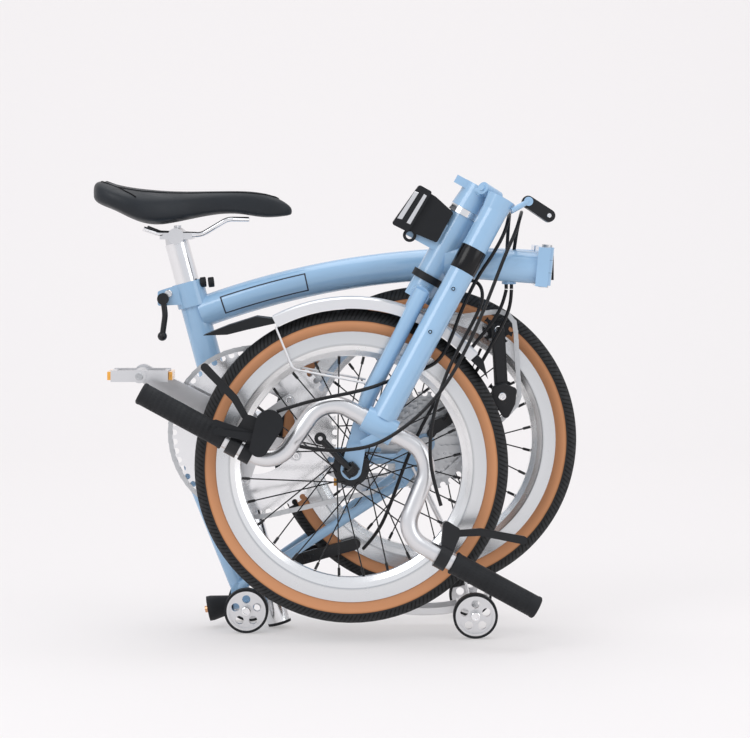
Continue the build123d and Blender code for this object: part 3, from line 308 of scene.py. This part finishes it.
LOOK = {
    "main_frame": PAINT, "front_frame": PAINT, "fork": PAINT, "stem_base": PAINT, "handlepost": PAINT,
    "rear_frame": PAINT, "hinge_pins": STEEL, "chain": STEEL, "seat_clamp_lever": BLACK,
    "main_hinge_clamp": PLASTIC, "seatpost": POLISHED, "seatpost_foot": SOFT, "saddle": LEATHER,
    "saddle_rails": CHROME, "saddle_clamp": BRUSHED, "luggage_block": PLASTIC,
    "headset_cups": POLISHED, "front_axle": BLACK, "front_mudguard": SILVER, "mud_flaps": PLASTIC,
    "front_brake": BLACK, "front_spokes": DARK_BOLT, "rear_spokes": DARK_BOLT, "front_hub": BLACK,
    "rear_hub": BLACK, "front_wheel_lever": BLACK, "handlebar": BRUSHED, "left_grip": SOFT,
    "right_grip": SOFT, "left_brake_body": BLACK, "right_brake_body": BLACK,
    "left_brake_lever": BLACK, "right_brake_lever": BLACK, "gear_shifter": PLASTIC,
    "handlepost_clamp_lever": BLACK, "shift_up_paddle": PLASTIC, "shift_down_paddle": PLASTIC,
    "rear_axles": STEEL, "suspension_block": SOFT, "rear_mudguard": SILVER, "rear_brake": BLACK,
    "derailleur": BLACK, "derailleur_cage": BLACK, "guide_pulley": PLASTIC,
    "tension_pulley": PLASTIC, "cassette": STEEL, "crankset": BRUSHED, "chainring": POLISHED,
    "right_pedal": BRUSHED, "left_pedal": BRUSHED, "bar_cables": CABLE, "frame_cables": CABLE,
    "front_rim": RIMS["front"], "rear_rim": RIMS["rear"], "front_tyre": TREAD["front"],
    "rear_tyre": TREAD["rear"], "rear_right_roller": BRUSHED, "rear_left_roller": BRUSHED,
    "front_right_roller": BRUSHED, "front_left_roller": BRUSHED,
}
for name, node in nodes.items():
    node.data.materials.clear()
    node.data.materials.append(LOOK[name])


def face_paint(node, material, test):
    """Gives a second material to the faces of a CAD node whose centre passes the test."""
    mesh = nodes[node].data
    mesh.materials.append(material)
    for polygon in mesh.polygons:
        if test(polygon.center * 1000 - SHIFT):
            polygon.material_index = len(mesh.materials) - 1


def radius_from(point, centre):
    return math.hypot(point.x - centre[0], point.z - centre[1])


for end, centre in ROLLERS.items():
    for side_name in ("right", "left"):
        face_paint(f"{end}_{side_name}_roller", SOFT, lambda p, c=centre: radius_from(p, c) > 26.6)
face_paint("headset_cups", PLASTIC, lambda p: p.z < 525)
for node, side in (("right_pedal", -1), ("left_pedal", 1)):
    pedal_x = BB[0] + CRANK_L * math.cos(math.radians(CRANK_ANGLES[side]))
    face_paint(node, AMBER, lambda p, x=pedal_x: abs(p.x - x) > 38.2)


# ---------------------------------------------------------------- mesh helpers
def make(name, bm, material, body, smooth=True, slot=None):
    mesh = bpy.data.meshes.new(name)
    bm.to_mesh(mesh)
    bm.free()
    if smooth:
        for polygon in mesh.polygons:
            polygon.use_smooth = True
    obj = bpy.data.objects.new(name, mesh)
    bpy.context.collection.objects.link(obj)
    mesh.materials.append(material)
    if body:
        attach(obj, body)
    return obj


def loft(bm, rings, closed_ring=True, closed_path=False, caps=True):
    """Skins rings of points, each with the same number of points."""
    rows = [[bm.verts.new(point) for point in ring] for ring in rings]
    count = len(rows[0])
    pairs = list(zip(rows, rows[1:]))
    if closed_path:
        pairs.append((rows[-1], rows[0]))
    for row, following in pairs:
        for i in range(count if closed_ring else count - 1):
            j = (i + 1) % count
            bm.faces.new((row[i], row[j], following[j], following[i]))
    if caps and not closed_path:
        bm.faces.new(rows[0])
        bm.faces.new(reversed(rows[-1]))
    bmesh.ops.recalc_face_normals(bm, faces=bm.faces)
    return rows


def basis(direction):
    direction = direction.normalized()
    side = direction.cross(Vector((0, 0, 1)))
    if side.length < 1e-3:
        side = direction.cross(Vector((1, 0, 0)))
    side.normalize()
    return direction, side, side.cross(direction)


def turned(bm, start, end, profile, sides=28):
    """Turned piece from start towards end; the profile is (distance, radius) in millimetres."""
    direction, u, v = basis(end - start)
    rings = []
    for distance, radius in profile:
        centre = start + direction * distance / 1000
        rings.append([
            centre + (u * math.cos(a) + v * math.sin(a)) * radius / 1000
            for a in (2 * math.pi * k / sides for k in range(sides))
        ])
    loft(bm, rings)


def bolt(name, place, outward, radius, material, body, head=3.0, slot="steel"):
    """Socket head screw with a chamfered rim and a hexagonal socket."""
    bm = bmesh.new()
    end = place + outward
    turned(bm, place, end, [
        (-1.0, radius * 0.9), (-0.6, radius), (head - 0.5, radius), (head, radius * 0.88),
        (head, radius * 0.56), (head - 0.3, radius * 0.5), (head - 1.6, radius * 0.5),
    ], 18)
    return make(name, bm, material, body, False, slot)


def tube_along(bm, points, radius, sides=12, closed=False):
    rings = []
    count = len(points)
    for i, point in enumerate(points):
        before = points[i - 1] if i or closed else point
        after = points[(i + 1) % count] if i < count - 1 or closed else point
        _, u, v = basis(after - before)
        rings.append([
            point + (u * math.cos(a) + v * math.sin(a)) * radius / 1000
            for a in (2 * math.pi * k / sides for k in range(sides))
        ])
    loft(bm, rings, closed_path=closed)


def spline_mesh(name, points, radius, material):
    """Round tube along a smooth NURBS line through its control points."""
    curve = bpy.data.curves.new(name + "_line", "CURVE")
    curve.dimensions = "3D"
    curve.bevel_depth = radius / 1000
    curve.bevel_resolution = 4
    curve.use_fill_caps = True
    spline = curve.splines.new("NURBS")
    spline.points.add(len(points) - 1)
    for place, point in zip(spline.points, points):
        place.co = (*at(*point), 1.0)
    spline.order_u = 3
    spline.use_endpoint_u = True
    spline.resolution_u = 10
    holder = bpy.data.objects.new(name + "_line", curve)
    bpy.context.collection.objects.link(holder)
    bpy.context.view_layer.update()
    mesh = bpy.data.meshes.new_from_object(holder)
    bpy.data.objects.remove(holder)
    obj = bpy.data.objects.new(name, mesh)
    bpy.context.collection.objects.link(obj)
    mesh.materials.clear()
    mesh.materials.append(material)
    for polygon in mesh.polygons:
        polygon.use_smooth = True
    return obj


# ---------------------------------------------------------------- saddle
def saddle_ring(x, top, low, half):
    """One cross-section of the saddle, from its underside round over the crowned top."""
    points = []
    for k in range(24):
        a = 2 * math.pi * k / 24
        c, s = math.cos(a), math.sin(a)
        y = half * math.copysign(abs(c) ** 0.62, c)
        if s >= 0:
            z = low + (top - low) * (0.42 + 0.58 * abs(s) ** 0.75)
        else:
            z = low + (top - low) * 0.42 * (1 - abs(s) ** 0.5)
        points.append(at(x, y, z))
    return points


SADDLE = [
    (-385.5, 607, 590, 30), (-381, 613, 584, 48), (-372, 613.6, 579, 60), (-356, 608.5, 573.5, 68),
    (-338, 605, 564, 71.5), (-320, 602.6, 556, 70.5), (-302, 601, 552.6, 64), (-284, 599.6, 554.4, 55),
    (-262, 599, 559, 43), (-238, 599.2, 564, 33), (-212, 599.6, 568.6, 26), (-186, 599.8, 568.5, 22.5),
    (-168, 599, 565, 21), (-152, 596.6, 563, 19.5), (-138, 592, 563.4, 17.5), (-126, 585.6, 564.8, 14.5),
    (-118, 580, 566, 10), (-114.3, 575, 568, 5),
]


def saddle_height(x, y):
    """Height of the top surface, for the seams that lie on it."""
    for before, after in zip(SADDLE, SADDLE[1:]):
        if before[0] <= x <= after[0]:
            t = (x - before[0]) / (after[0] - before[0])
            top, low, half = [a + (b - a) * t for a, b in zip(before[1:], after[1:])]
            c = min(1.0, abs(y) / half) ** (1 / 0.62)
            s = math.sqrt(max(0.0, 1 - c * c))
            return low + (top - low) * (0.42 + 0.58 * s ** 0.75)
    return SADDLE[0][1]


def build_saddle():
    bm = bmesh.new()
    loft(bm, [saddle_ring(*station) for station in SADDLE])
    obj = make("saddle_cover", bm, LEATHER, None, slot="saddle")
    obj.data.materials.append(SADDLE_TOP)
    smoother = obj.modifiers.new("smooth", "SUBSURF")
    smoother.levels = smoother.render_levels = 2
    bpy.context.view_layer.update()
    final = bpy.data.meshes.new_from_object(obj.evaluated_get(bpy.context.evaluated_depsgraph_get()))
    obj.modifiers.clear()
    obj.data = final
    for polygon in final.polygons:
        p = polygon.center * 1000 - SHIFT
        half = 30 + 38 / (1 + math.exp((p.x + 285) / 16)) if p.x < -140 else 12
        inside = abs(p.y) < half * 0.62 and -372 < p.x < -150
        polygon.material_index = 1 if inside and polygon.normal.z > 0.3 else 0
        polygon.use_smooth = True
    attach(obj, "seatpost")
    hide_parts("saddle")
    for number, (side, route) in enumerate((s, r) for s in (-1, 1) for r in SEAMS):
        bm = bmesh.new()
        line = []
        for (x0, y0), (x1, y1) in zip(route, route[1:]):
            for k in range(12):
                t = k / 12
                x, y = x0 + (x1 - x0) * t, side * (y0 + (y1 - y0) * t)
                line.append(at(x, y, saddle_height(x, y) + 0.05))
        tube_along(bm, line, 0.75, 6)
        make(f"saddle_seam_{number}", bm, SEAM, "seatpost", slot="saddle")


SEAMS = [
    [(-374, 30), (-350, 46), (-318, 45), (-290, 36), (-262, 27), (-230, 19.5), (-190, 15), (-160, 13),
     (-140, 8), (-132, 1)],
    [(-350, 46), (-338, 58), (-322, 66)],
]


# ---------------------------------------------------------------- grips
BAR_CENTRE = at(5.5, -177, 292.4)
bar_records = {j["name"]: j for j in frame["record"]["behaviour"]["joints"]}
BAR_OUT = Vector(bar_records["left_brake_lever"]["axis"]).normalized()
STEER = Vector(bar_records["steering"]["axis"]).normalized()
ACROSS = Vector((math.cos(math.radians(-29)), 0, math.sin(math.radians(-29))))
post_top = at(99.5, -115, 534.2) + STEER * 0.082 + ACROSS * 0.032 + Vector((0, -0.032, 0))
POST_DIR = (BAR_CENTRE - post_top).normalized()
BAR_DIR = (ACROSS - POST_DIR * ACROSS.dot(POST_DIR)).normalized()


def bar_at(along, rise, out=0.0):
    return BAR_CENTRE + (BAR_DIR * along + POST_DIR * rise + BAR_OUT * out) / 1000


def build_grip(side, node):
    """Moulded grip: flared inner collar, shallow pattern of ribs and a stepped end cap."""
    bm = bmesh.new()
    start, end = bar_at(side * 169.4, 111), bar_at(side * 295, 111)
    direction, u, v = basis(end - start)
    length = (end - start).length * 1000
    rows = 168
    sides = 72
    rings = []
    for i in range(rows + 1):
        d = length * i / rows
        radius = 14.6
        if d < 6:
            radius += 0.9 * min(1.0, (6 - d) / 3)
        if d > length - 5:
            radius += 0.5
        edge = min(d, length - d)
        if edge < 1.5:
            radius -= 1.2 * (1 - edge / 1.5) ** 2
        ring = []
        for k in range(sides):
            a = 2 * math.pi * k / sides
            cut = 0.0
            if 8 < d < length - 7:
                ribs = math.sin(a * 12 + d * 0.42) * math.sin(a * 12 - d * 0.42)
                window = 14 < d < length - 14 and math.cos(a * 2) > -0.2
                cut = 0.55 if window and ribs > 0.12 else 0.0
            r = (radius - cut) / 1000
            ring.append(start + direction * d / 1000 + (u * math.cos(a) + v * math.sin(a)) * r)
        rings.append(ring)
    loft(bm, rings)
    obj = make(f"{node}_moulded", bm, SOFT, "handlepost", slot="rubber")
    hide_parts(node)
    bm = bmesh.new()
    cap = [(0, 13.4), (0.9, 13.4), (1.4, 12.6), (1.5, 10), (1.0, 9.4), (1.0, 3)]
    turned(bm, end - direction * 0.0006, end + direction * 0.002, cap, 40)
    make(f"{node}_end_cap", bm, PLASTIC, "handlepost", slot="black_plastic")


# ---------------------------------------------------------------- tyres
def build_tyre(name, centre, y, node, body):
    """Tyre with blocks cut by slanted grooves, and a raised bead line on each side wall."""
    section = [
        (176.5, -9.4), (180.6, -10.2), (182.4, -12.4), (187, -16.2), (192, -17.3), (196, -17.4),
        (198.2, -17.0), (200.4, -15.8), (202.6, -13.8), (204.6, -11.2), (206.4, -8.4), (207.9, -5.6),
        (208.9, -2.8), (209.3, 0.0),
    ]
    outline = section + [(r, -offset) for r, offset in reversed(section[:-1])]
    outline += [(180, 8.6), (196, 14.0), (203.5, 5.0), (203.5, -5.0), (196, -14.0), (180, -8.6)]
    steps = 640
    rings = []
    for i in range(steps):
        a = 2 * math.pi * i / steps
        ring = []
        for r, offset in outline:
            if r > 198 and r != 203.5:
                slant = a * 80 + (abs(offset) * 0.34 if abs(offset) > 2.9 else 0.0)
                groove = math.sin(slant) > 0.45 and abs(offset) > 2.4
                r -= 0.9 if groove else 0.0
            ring.append(at(centre[0] + r * math.cos(a), y + offset, centre[1] + r * math.sin(a)))
        rings.append(ring)
    bm = bmesh.new()
    loft(bm, rings, closed_path=True)
    kind = "front" if name.startswith("front") else "rear"
    obj = make(name, bm, TREAD[kind], body, slot="tyre")
    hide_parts(node)


# ---------------------------------------------------------------- chain
def pitch_radius(teeth):
    return 12.7 / (2 * math.sin(math.pi / teeth))


def chain_line():
    """Points one pitch apart round the chainring, sprocket and both pulleys."""
    wheels = [
        (BB, pitch_radius(54)), ((167, 412), pitch_radius(9)), ((172, 322), pitch_radius(9)),
        (REAR_WHEEL, pitch_radius(22)),
    ]
    dense = []
    for i, (centre, radius) in enumerate(wheels):
        for k in range(720):
            a = 2 * math.pi * k / 720
            p = (centre[0] + (radius + 5.5) * math.cos(a), centre[1] + (radius + 5.5) * math.sin(a))
            dense.append(p)
    hull = convex(dense)
    length = sum(math.dist(a, b) for a, b in zip(hull, hull[1:] + hull[:1]))
    count = 2 * round(length / 12.7 / 2)
    pitch = length / count
    line, travelled, target = [], 0.0, 0.0
    for a, b in zip(hull, hull[1:] + hull[:1]):
        step = math.dist(a, b)
        while target <= travelled + step - 1e-9 and len(line) < count:
            t = (target - travelled) / step
            line.append((a[0] + (b[0] - a[0]) * t, a[1] + (b[1] - a[1]) * t))
            target += pitch
        travelled += step
    return line


def convex(points):
    """Outer outline of points in a plane, counter-clockwise."""
    points = sorted(set(points))

    def half(sequence):
        kept = []
        for p in sequence:
            while len(kept) > 1:
                (ax, ay), (bx, by) = kept[-2], kept[-1]
                if (bx - ax) * (p[1] - ay) - (by - ay) * (p[0] - ax) > 0:
                    break
                kept.pop()
            kept.append(p)
        return kept[:-1]

    return half(points) + half(reversed(points))


def build_chain():
    line = chain_line()
    bm = bmesh.new()
    count = len(line)
    for i, start in enumerate(line):
        end = line[(i + 1) % count]
        run = Vector((end[0] - start[0], 0, end[1] - start[1]))
        angle = math.atan2(run.z, run.x)
        inner = i % 2 == 0
        for side in (-1, 1):
            near = side * (1.1 if inner else 1.9)
            outline = []
            for k in range(16):
                a = 2 * math.pi * k / 16
                radius = 3.7 if inner else 3.5
                x = radius * math.cos(a) + (run.length / 2 if math.cos(a) > 0 else -run.length / 2)
                z = radius * math.sin(a) * (0.82 if abs(math.cos(a)) < 0.3 else 1.0)
                outline.append((x, z))
            rings = []
            for offset in (near, near + side * 0.75):
                ring = []
                for x, z in outline:
                    px = (start[0] + end[0]) / 2 + x * math.cos(angle) - z * math.sin(angle)
                    pz = (start[1] + end[1]) / 2 + x * math.sin(angle) + z * math.cos(angle)
                    ring.append(at(px, CHAIN_Y + offset, pz))
                rings.append(ring)
            loft(bm, rings)
        a, b = at(start[0], CHAIN_Y - 2.9, start[1]), at(start[0], CHAIN_Y + 2.9, start[1])
        turned(bm, a, b, [(0, 1.4), (0.3, 1.8), (1.8, 1.8), (1.9, 3.3), (3.9, 3.3), (4.0, 1.8),
                          (5.5, 1.8), (5.8, 1.4)], 10)
    obj = make("chain_links", bm, STEEL, "main_frame", False, "steel")
    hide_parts("chain")


CHAIN_Y = -47.0


# ---------------------------------------------------------------- cables
BAR_ROUTES = [
    [
        (-128, -194, 312), (-98, -194, 322), (-64, -192, 330), (-30, -185, 336), (-4, -172.5, 342),
        (10, -163.5, 346.5), (25, -152.6, 351.3), (48, -149.2, 358.7), (66, -147.6, 364.5),
        (86, -147, 376), (101, -147, 405), (113, -147, 440), (134, -148, 484),
        (156, -149, 516), (172, -145, 545), (178, -131, 567), (180, -110, 571), (179, -92, 553),
        (177.5, -86, 522), (176.5, -85, 492), (176.5, -85, 468),
    ],
    [
        (-98, -206, 268), (-70, -202, 262), (-36, -200, 262), (-2, -203, 268), (30, -206, 286),
        (62, -206, 312), (92, -200, 346), (118, -184, 390), (140, -168, 436), (158, -158, 480),
        (172, -155, 516), (186, -149, 546), (194, -133, 569), (196, -110, 573), (192, -92, 554),
        (187, -87, 522), (183.5, -85, 492), (183.5, -85, 468),
    ],
    [
        (86, -200, 190), (76, -200, 222), (71, -199, 256), (73, -197, 292), (82, -192, 330),
        (98, -183, 372), (118, -171, 408), (134, -160, 436), (143, -149, 458), (140, -141, 476),
        (126, -138.5, 483), (110, -138, 473), (98, -137.5, 460), (87, -137, 448),
    ],
]
FRAME_ROUTES = [
    [
        (183.5, -85, 467), (183, -84, 448), (174, -83, 424), (160, -81, 398), (142, -80, 366),
        (122, -79.5, 334), (104, -79.5, 306), (92, -79.5, 291),
    ],
    [
        (176.5, -85, 467), (172, -85, 446), (156, -84, 420), (134, -84, 394), (110, -84, 362),
        (84, -84, 322), (60, -84, 278), (40, -84, 232), (22, -78, 180), (4, -60, 136), (-16, -36, 112),
    ],
]


def cut_mesh(obj, point, normal, keep_after):
    """Keeps the part of a tube on one side of a plane."""
    bm = bmesh.new()
    bm.from_mesh(obj.data)
    geometry = bm.verts[:] + bm.edges[:] + bm.faces[:]
    bmesh.ops.bisect_plane(
        bm, geom=geometry, plane_co=point, plane_no=normal,
        clear_inner=keep_after, clear_outer=not keep_after,
    )
    bm.to_mesh(obj.data)
    bm.free()


def build_cables():
    """The first two bar cables and the frame cables are parted where they cross from one joint to the
    next.
    """
    for number, route in enumerate(BAR_ROUTES[:2]):
        for part, (pair, start, end) in enumerate((
            (("handlepost", "fork"), (20, -175, 340), (128, -150, 500)),
            (("fork", "front_frame"), (150, -148, 520), (184, -88, 520)),
        )):
            obj = spline_mesh(f"bar_cable_{number}_{part}", route, 2.4, CABLE)
            part_loop(obj, at(0, -118, 512), part == 1)
            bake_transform(obj)
            if number == 0 and part == 0:
                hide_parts("bar_cables")
    obj = spline_mesh("bar_cable_2", BAR_ROUTES[2], 2.4, CABLE)
    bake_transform(obj)
    for number, route in enumerate(FRAME_ROUTES):
        obj = spline_mesh(f"frame_cable_{number}", route, 2.4, CABLE)
        cut_mesh(obj, at(0, 0, 400), Vector((0, 0, 1)), True)
        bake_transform(obj)
        if number == 0:
            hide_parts("frame_cables")
        obj = spline_mesh(f"frame_cable_{number}_lower", route, 2.4, CABLE)
        cut_mesh(obj, at(0, 0, 400), Vector((0, 0, 1)), False)
        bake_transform(obj)


def part_loop(obj, split, after):
    """Parts a cable's loop over the front tube: its far half is above the split or behind it."""
    bm = bmesh.new()
    bm.from_mesh(obj.data)
    bmesh.ops.bisect_plane(bm, geom=bm.verts[:] + bm.edges[:] + bm.faces[:], plane_co=split,
                           plane_no=Vector((0, 0, 1)))
    drop = []
    for face in bm.faces:
        middle = face.calc_center_median()
        if (middle.z > split.z or middle.y > split.y) != after:
            drop.append(face)
    bmesh.ops.delete(bm, geom=drop, context="FACES")
    bm.to_mesh(obj.data)
    bm.free()


# ---------------------------------------------------------------- small fittings
def band(name, start, end, radius, thick, material, body, slot, sides=40):
    """Sleeve with rounded edges round a tube."""
    bm = bmesh.new()
    length = (end - start).length * 1000
    turned(bm, start, end, [
        (0, radius), (0.3, radius + thick * 0.7), (1.0, radius + thick), (length - 1.0, radius + thick),
        (length - 0.3, radius + thick * 0.7), (length, radius),
    ], sides)
    return make(name, bm, material, body, True, slot)


def build_fittings():
    u = -POST_DIR
    low = BAR_CENTRE + u * 0.230
    band("handlepost_sleeve", low, low + u * 0.034, 17.0, 0.9, GLOSS, "handlepost", "black_plastic")
    for number, rise in enumerate((0.128, 0.192)):
        place = BAR_CENTRE + u * (0.339 - 0.168 - 0.032 + 0.064 * number) + BAR_OUT * 0.0172
        band(f"post_boss_{number}", place - BAR_OUT * 0.001, place + BAR_OUT * 0.0006, 3.2, 0.8, PAINT,
             "handlepost", "frame_blue", 20)
        bolt(f"post_boss_screw_{number}", place, BAR_OUT * 0.001, 2.9, GLOSS, "handlepost", 0.9)
    bm = bmesh.new()
    for x in (-236, -225):
        turned(bm, at(x - 4, -9, 474), at(x + 4, -9, 475), [(0, 6), (0.6, 7), (7.4, 7), (8, 6)], 24)
    make("frame_bumper", bm, PLASTIC, "main_frame", True, "black_plastic")
    for side in (-1, 1):
        bolt(f"seat_collar_bolt_{side + 1}", at(-283, side * 17, 459), Vector((0, side * 0.001, 0)), 5.2,
             POLISHED, "main_frame", 3)
        bolt(f"bottom_bracket_bolt_{side + 1}", at(BB[0], side * 78.4, BB[1]),
             Vector((0, side * 0.001, 0)), 7.5, DARK_BOLT, "crankset", 2.5)
        end_angle = math.radians(CRANK_ANGLES[side])
        x, z = BB[0] + CRANK_L * math.cos(end_angle), BB[1] + CRANK_L * math.sin(end_angle)
        bolt(f"pedal_axle_end_{side + 1}", at(x, side * 140, z), Vector((0, side * 0.001, 0)), 5.4, STEEL,
             "right_pedal" if side < 0 else "left_pedal", 3.4)
    for name, offset in (("rear", 50), ("front", 94)):
        x, z = ROLLERS[name]
        for side in (-1, 1):
            bolt(f"{name}_roller_bolt_{side + 1}", at(x, side * (offset + 10), z),
                 Vector((0, side * 0.001, 0)), 6.2, POLISHED, "rear_frame", 3.2)
    tip = post_top - POST_DIR * 0.009 + BAR_DIR * 0.066 + BAR_OUT * 0.008
    bolt("clamp_lever_bolt", tip, BAR_OUT * 0.001, 3.0, CHROME, "post_lever", 1.2)
    bolt("suspension_bolt", at(-231, 0, 24), direction_of(191) * 0.001, 4.6, COPPER, "rear_frame", 3)
    bolt("cage_upper_bolt", at(167, -55.9, 412), Vector((0, -0.001, 0)), 4.6, CHROME, "derailleur_cage", 2)
    bolt("cage_lower_bolt", at(172, -67, 322), Vector((0, -0.001, 0)), 5.2, CHROME, "rear_frame", 2)
    bolt("brake_pivot_bolt", at(80.7, -144.3, 443.9), Vector((0, -0.001, 0)), 3.6, CHROME, "fork", 1.5)
    for number in range(5):
        a = math.radians(CRANK_ANGLES[-1] + 36 + 72 * number)
        bolt(f"chainring_bolt_{number}", at(BB[0] + 65 * math.cos(a), -55.8, BB[1] + 65 * math.sin(a)),
             Vector((0, -0.001, 0)), 4.6, POLISHED, "crankset", 1.6)


def flat_shell(name, outline, y_near, y_far, material, body):
    """Rounded plate across the bicycle between two distances from its middle plane."""
    bm = bmesh.new()
    middle = (sum(x for x, z in outline) / len(outline), sum(z for x, z in outline) / len(outline))
    rings = []
    for y, inset in ((y_far, 0.0), (y_near + 1.2, 0.0), (y_near, 0.07)):
        rings.append([at(x + (middle[0] - x) * inset, y, z + (middle[1] - z) * inset) for x, z in outline])
    loft(bm, rings)
    return make(name, bm, material, body, False, "black_metal")


def round_outline(circles):
    """Outline around circles given as (x, z, radius)."""
    points = [(x + r * math.cos(a), z + r * math.sin(a)) for x, z, r in circles
              for a in (math.pi * k / 12 for k in range(24))]
    return convex(points)


def build_plates():
    """Pale slots of the luggage block, and the outer plates of the derailleur and its cage."""
    flat_shell("derailleur_shell", round_outline([
        (164, 331, 6), (174, 335, 5), (187, 329, 5), (185, 313, 5), (177, 298, 5.5), (165, 318, 6),
    ]), -66, -60, BLACK, "rear_frame")
    for number, outline in enumerate((
        [(52.9, 600.1), (28.7, 563), (35.3, 561.3), (58.6, 598.4)],
        [(65.2, 596.6), (41, 557), (46.3, 554.7), (69.2, 594)],
    )):
        flat_shell(f"luggage_slot_{number}", outline, -145.5, -144.6, BRUSHED, "front_frame")
    flat_shell("cage_plate", round_outline([(167, 412, 8.5), (172, 330, 6)]), -57.4, -56, BLACK,
               "derailleur_cage")


def direction_of(angle):
    return Vector((math.cos(math.radians(angle)), 0, math.sin(math.radians(angle))))


def arc_point(x):
    """Height of the main tube's middle line, the arc through its three layout points."""
    (x1, z1), (x2, z2), (x3, z3) = (-240.0, 432.0), (-5.0, 490.5), (216.0, 497.2)
    a = x1 * (z2 - z3) - z1 * (x2 - x3) + x2 * z3 - x3 * z2
    s1, s2, s3 = x1 * x1 + z1 * z1, x2 * x2 + z2 * z2, x3 * x3 + z3 * z3
    cx = (s1 * (z2 - z3) + s2 * (z3 - z1) + s3 * (z1 - z2)) / (2 * a)
    cz = (s1 * (x3 - x2) + s2 * (x1 - x3) + s3 * (x2 - x1)) / (2 * a)
    radius = math.hypot(x1 - cx, z1 - cz)
    return cz + math.sqrt(radius * radius - (x - cx) ** 2)


def tube_surface(x, across, radius=21.6):
    """Point on the near face of the main tube, a distance round it from its middle line."""
    a = across / 21.5
    slope = (arc_point(x + 1) - arc_point(x - 1)) / 2
    norm = Vector((-slope, 0, 1)).normalized()
    rise = norm * radius * math.sin(a)
    return at(x + rise.x, -radius * math.cos(a), arc_point(x) + rise.z)


def build_panel():
    """Plain outlined panel on the main tube."""
    x_from, x_to, half_height, line = -209, -93, 13, 1.8
    corners = [
        (x_from, -half_height), (x_to, -half_height), (x_to, half_height), (x_from, half_height),
    ]
    loop = []
    for (x0, v0), (x1, v1) in zip(corners, corners[1:] + corners[:1]):
        steps = max(2, int(abs(x1 - x0) / 3 + abs(v1 - v0) / 1.5))
        for k in range(steps):
            t = k / steps
            loop.append((x0 + (x1 - x0) * t, v0 + (v1 - v0) * t))
    middle_x = (x_from + x_to) / 2
    half_length = (x_to - x_from) / 2
    rings = []
    for x, v in loop:
        at_end = abs(abs(x - middle_x) - half_length) < 0.1
        at_edge = abs(abs(v) - half_height) < 0.1
        inner_x = x + math.copysign(line, middle_x - x) if at_end else x
        inner_v = v - math.copysign(line, v) if at_edge else v
        rings.append([
            tube_surface(x, v, 21.3), tube_surface(x, v, 21.75),
            tube_surface(inner_x, inner_v, 21.75), tube_surface(inner_x, inner_v, 21.3),
        ])
    bm = bmesh.new()
    loft(bm, rings, closed_path=True)
    make("tube_panel", bm, OUTLINE, "main_frame", False, "frame_blue")


build_saddle()
build_grip(-1, "left_grip")
build_grip(1, "right_grip")
build_tyre("front_tyre_tread", FRONT_WHEEL, FRONT_Y, "front_tyre", "front_wheel")
build_tyre("rear_tyre_tread", REAR_WHEEL, 0.0, "rear_tyre", "rear_wheel")
build_chain()
build_cables()
build_fittings()
build_plates()
build_panel()


# ---------------------------------------------------------------- stage, light and camera
def build_stage():
    wall = Shader("pale_backdrop", (0.49, 0.47, 0.47), 0.9, Emission_Color=(1.0, 0.985, 0.98, 1.0),
                  Emission_Strength=0.36)
    wall.grain(3, 0.02, 0.001)
    bm = bmesh.new()
    profile = [(-6.0, 0.0), (2.2, 0.0)]
    profile += [(2.2 + 1.2 * math.sin(a), 1.2 - 1.2 * math.cos(a))
                for a in (math.pi / 2 * k / 14 for k in range(1, 15))]
    profile += [(3.4, 6.0)]
    loft(bm, [[Vector((x, y, z - 0.0006)) for y, z in profile] for x in (-7.0, 7.0)],
         closed_ring=False, caps=False)
    for face in bm.faces:
        if face.normal.y > 0.1 or face.normal.z < -0.1:
            face.normal_flip()
    floor = make("backdrop", bm, wall.material, None)


def light(name, place, target, size, watts, colour=(1, 1, 1)):
    lamp = bpy.data.lights.new(name, "AREA")
    lamp.shape = "RECTANGLE"
    lamp.size, lamp.size_y = size
    lamp.energy = watts
    lamp.color = colour
    holder = bpy.data.objects.new(name, lamp)
    bpy.context.collection.objects.link(holder)
    holder.location = place
    holder.rotation_euler = (Vector(target) - Vector(place)).to_track_quat("-Z", "Y").to_euler()


PICTURE = (750, 738)
FOCAL = 2656                  # in widths of one 750th of the picture
HORIZON = 190                 # from the picture's top edge


def build_camera():
    camera = bpy.data.cameras.new("camera")
    camera.sensor_width = 36
    camera.lens = FOCAL / PICTURE[0] * camera.sensor_width
    camera.shift_y = -(PICTURE[1] / 2 - HORIZON) / PICTURE[0]
    camera.clip_end = 50
    holder = bpy.data.objects.new("camera", camera)
    bpy.context.collection.objects.link(holder)
    holder.location = at(0, -3658, 601)
    holder.rotation_euler = (math.pi / 2, 0, 0)
    bpy.context.scene.camera = holder


build_stage()
light("key", (-1.9, -2.2, 2.4), (0, 0, 0.3), (1.8, 1.8), 30)
light("fill", (2.4, -1.8, 1.2), (0, 0, 0.3), (1.6, 2.2), 14)
light("top", (0.2, 0.2, 2.8), (0, 0, 0.3), (2.6, 2.0), 24)
light("back", (0.0, 2.0, 1.7), (0, 3.4, 0.6), (5.0, 1.0), 8)
world = bpy.data.worlds.new("studio")
bpy.context.scene.world = world
world.use_nodes = True
world.node_tree.nodes["Background"].inputs["Color"].default_value = (0.93, 0.95, 1.0, 1.0)
world.node_tree.nodes["Background"].inputs["Strength"].default_value = 0.82
build_camera()
bpy.context.scene.view_settings.view_transform = "Standard"
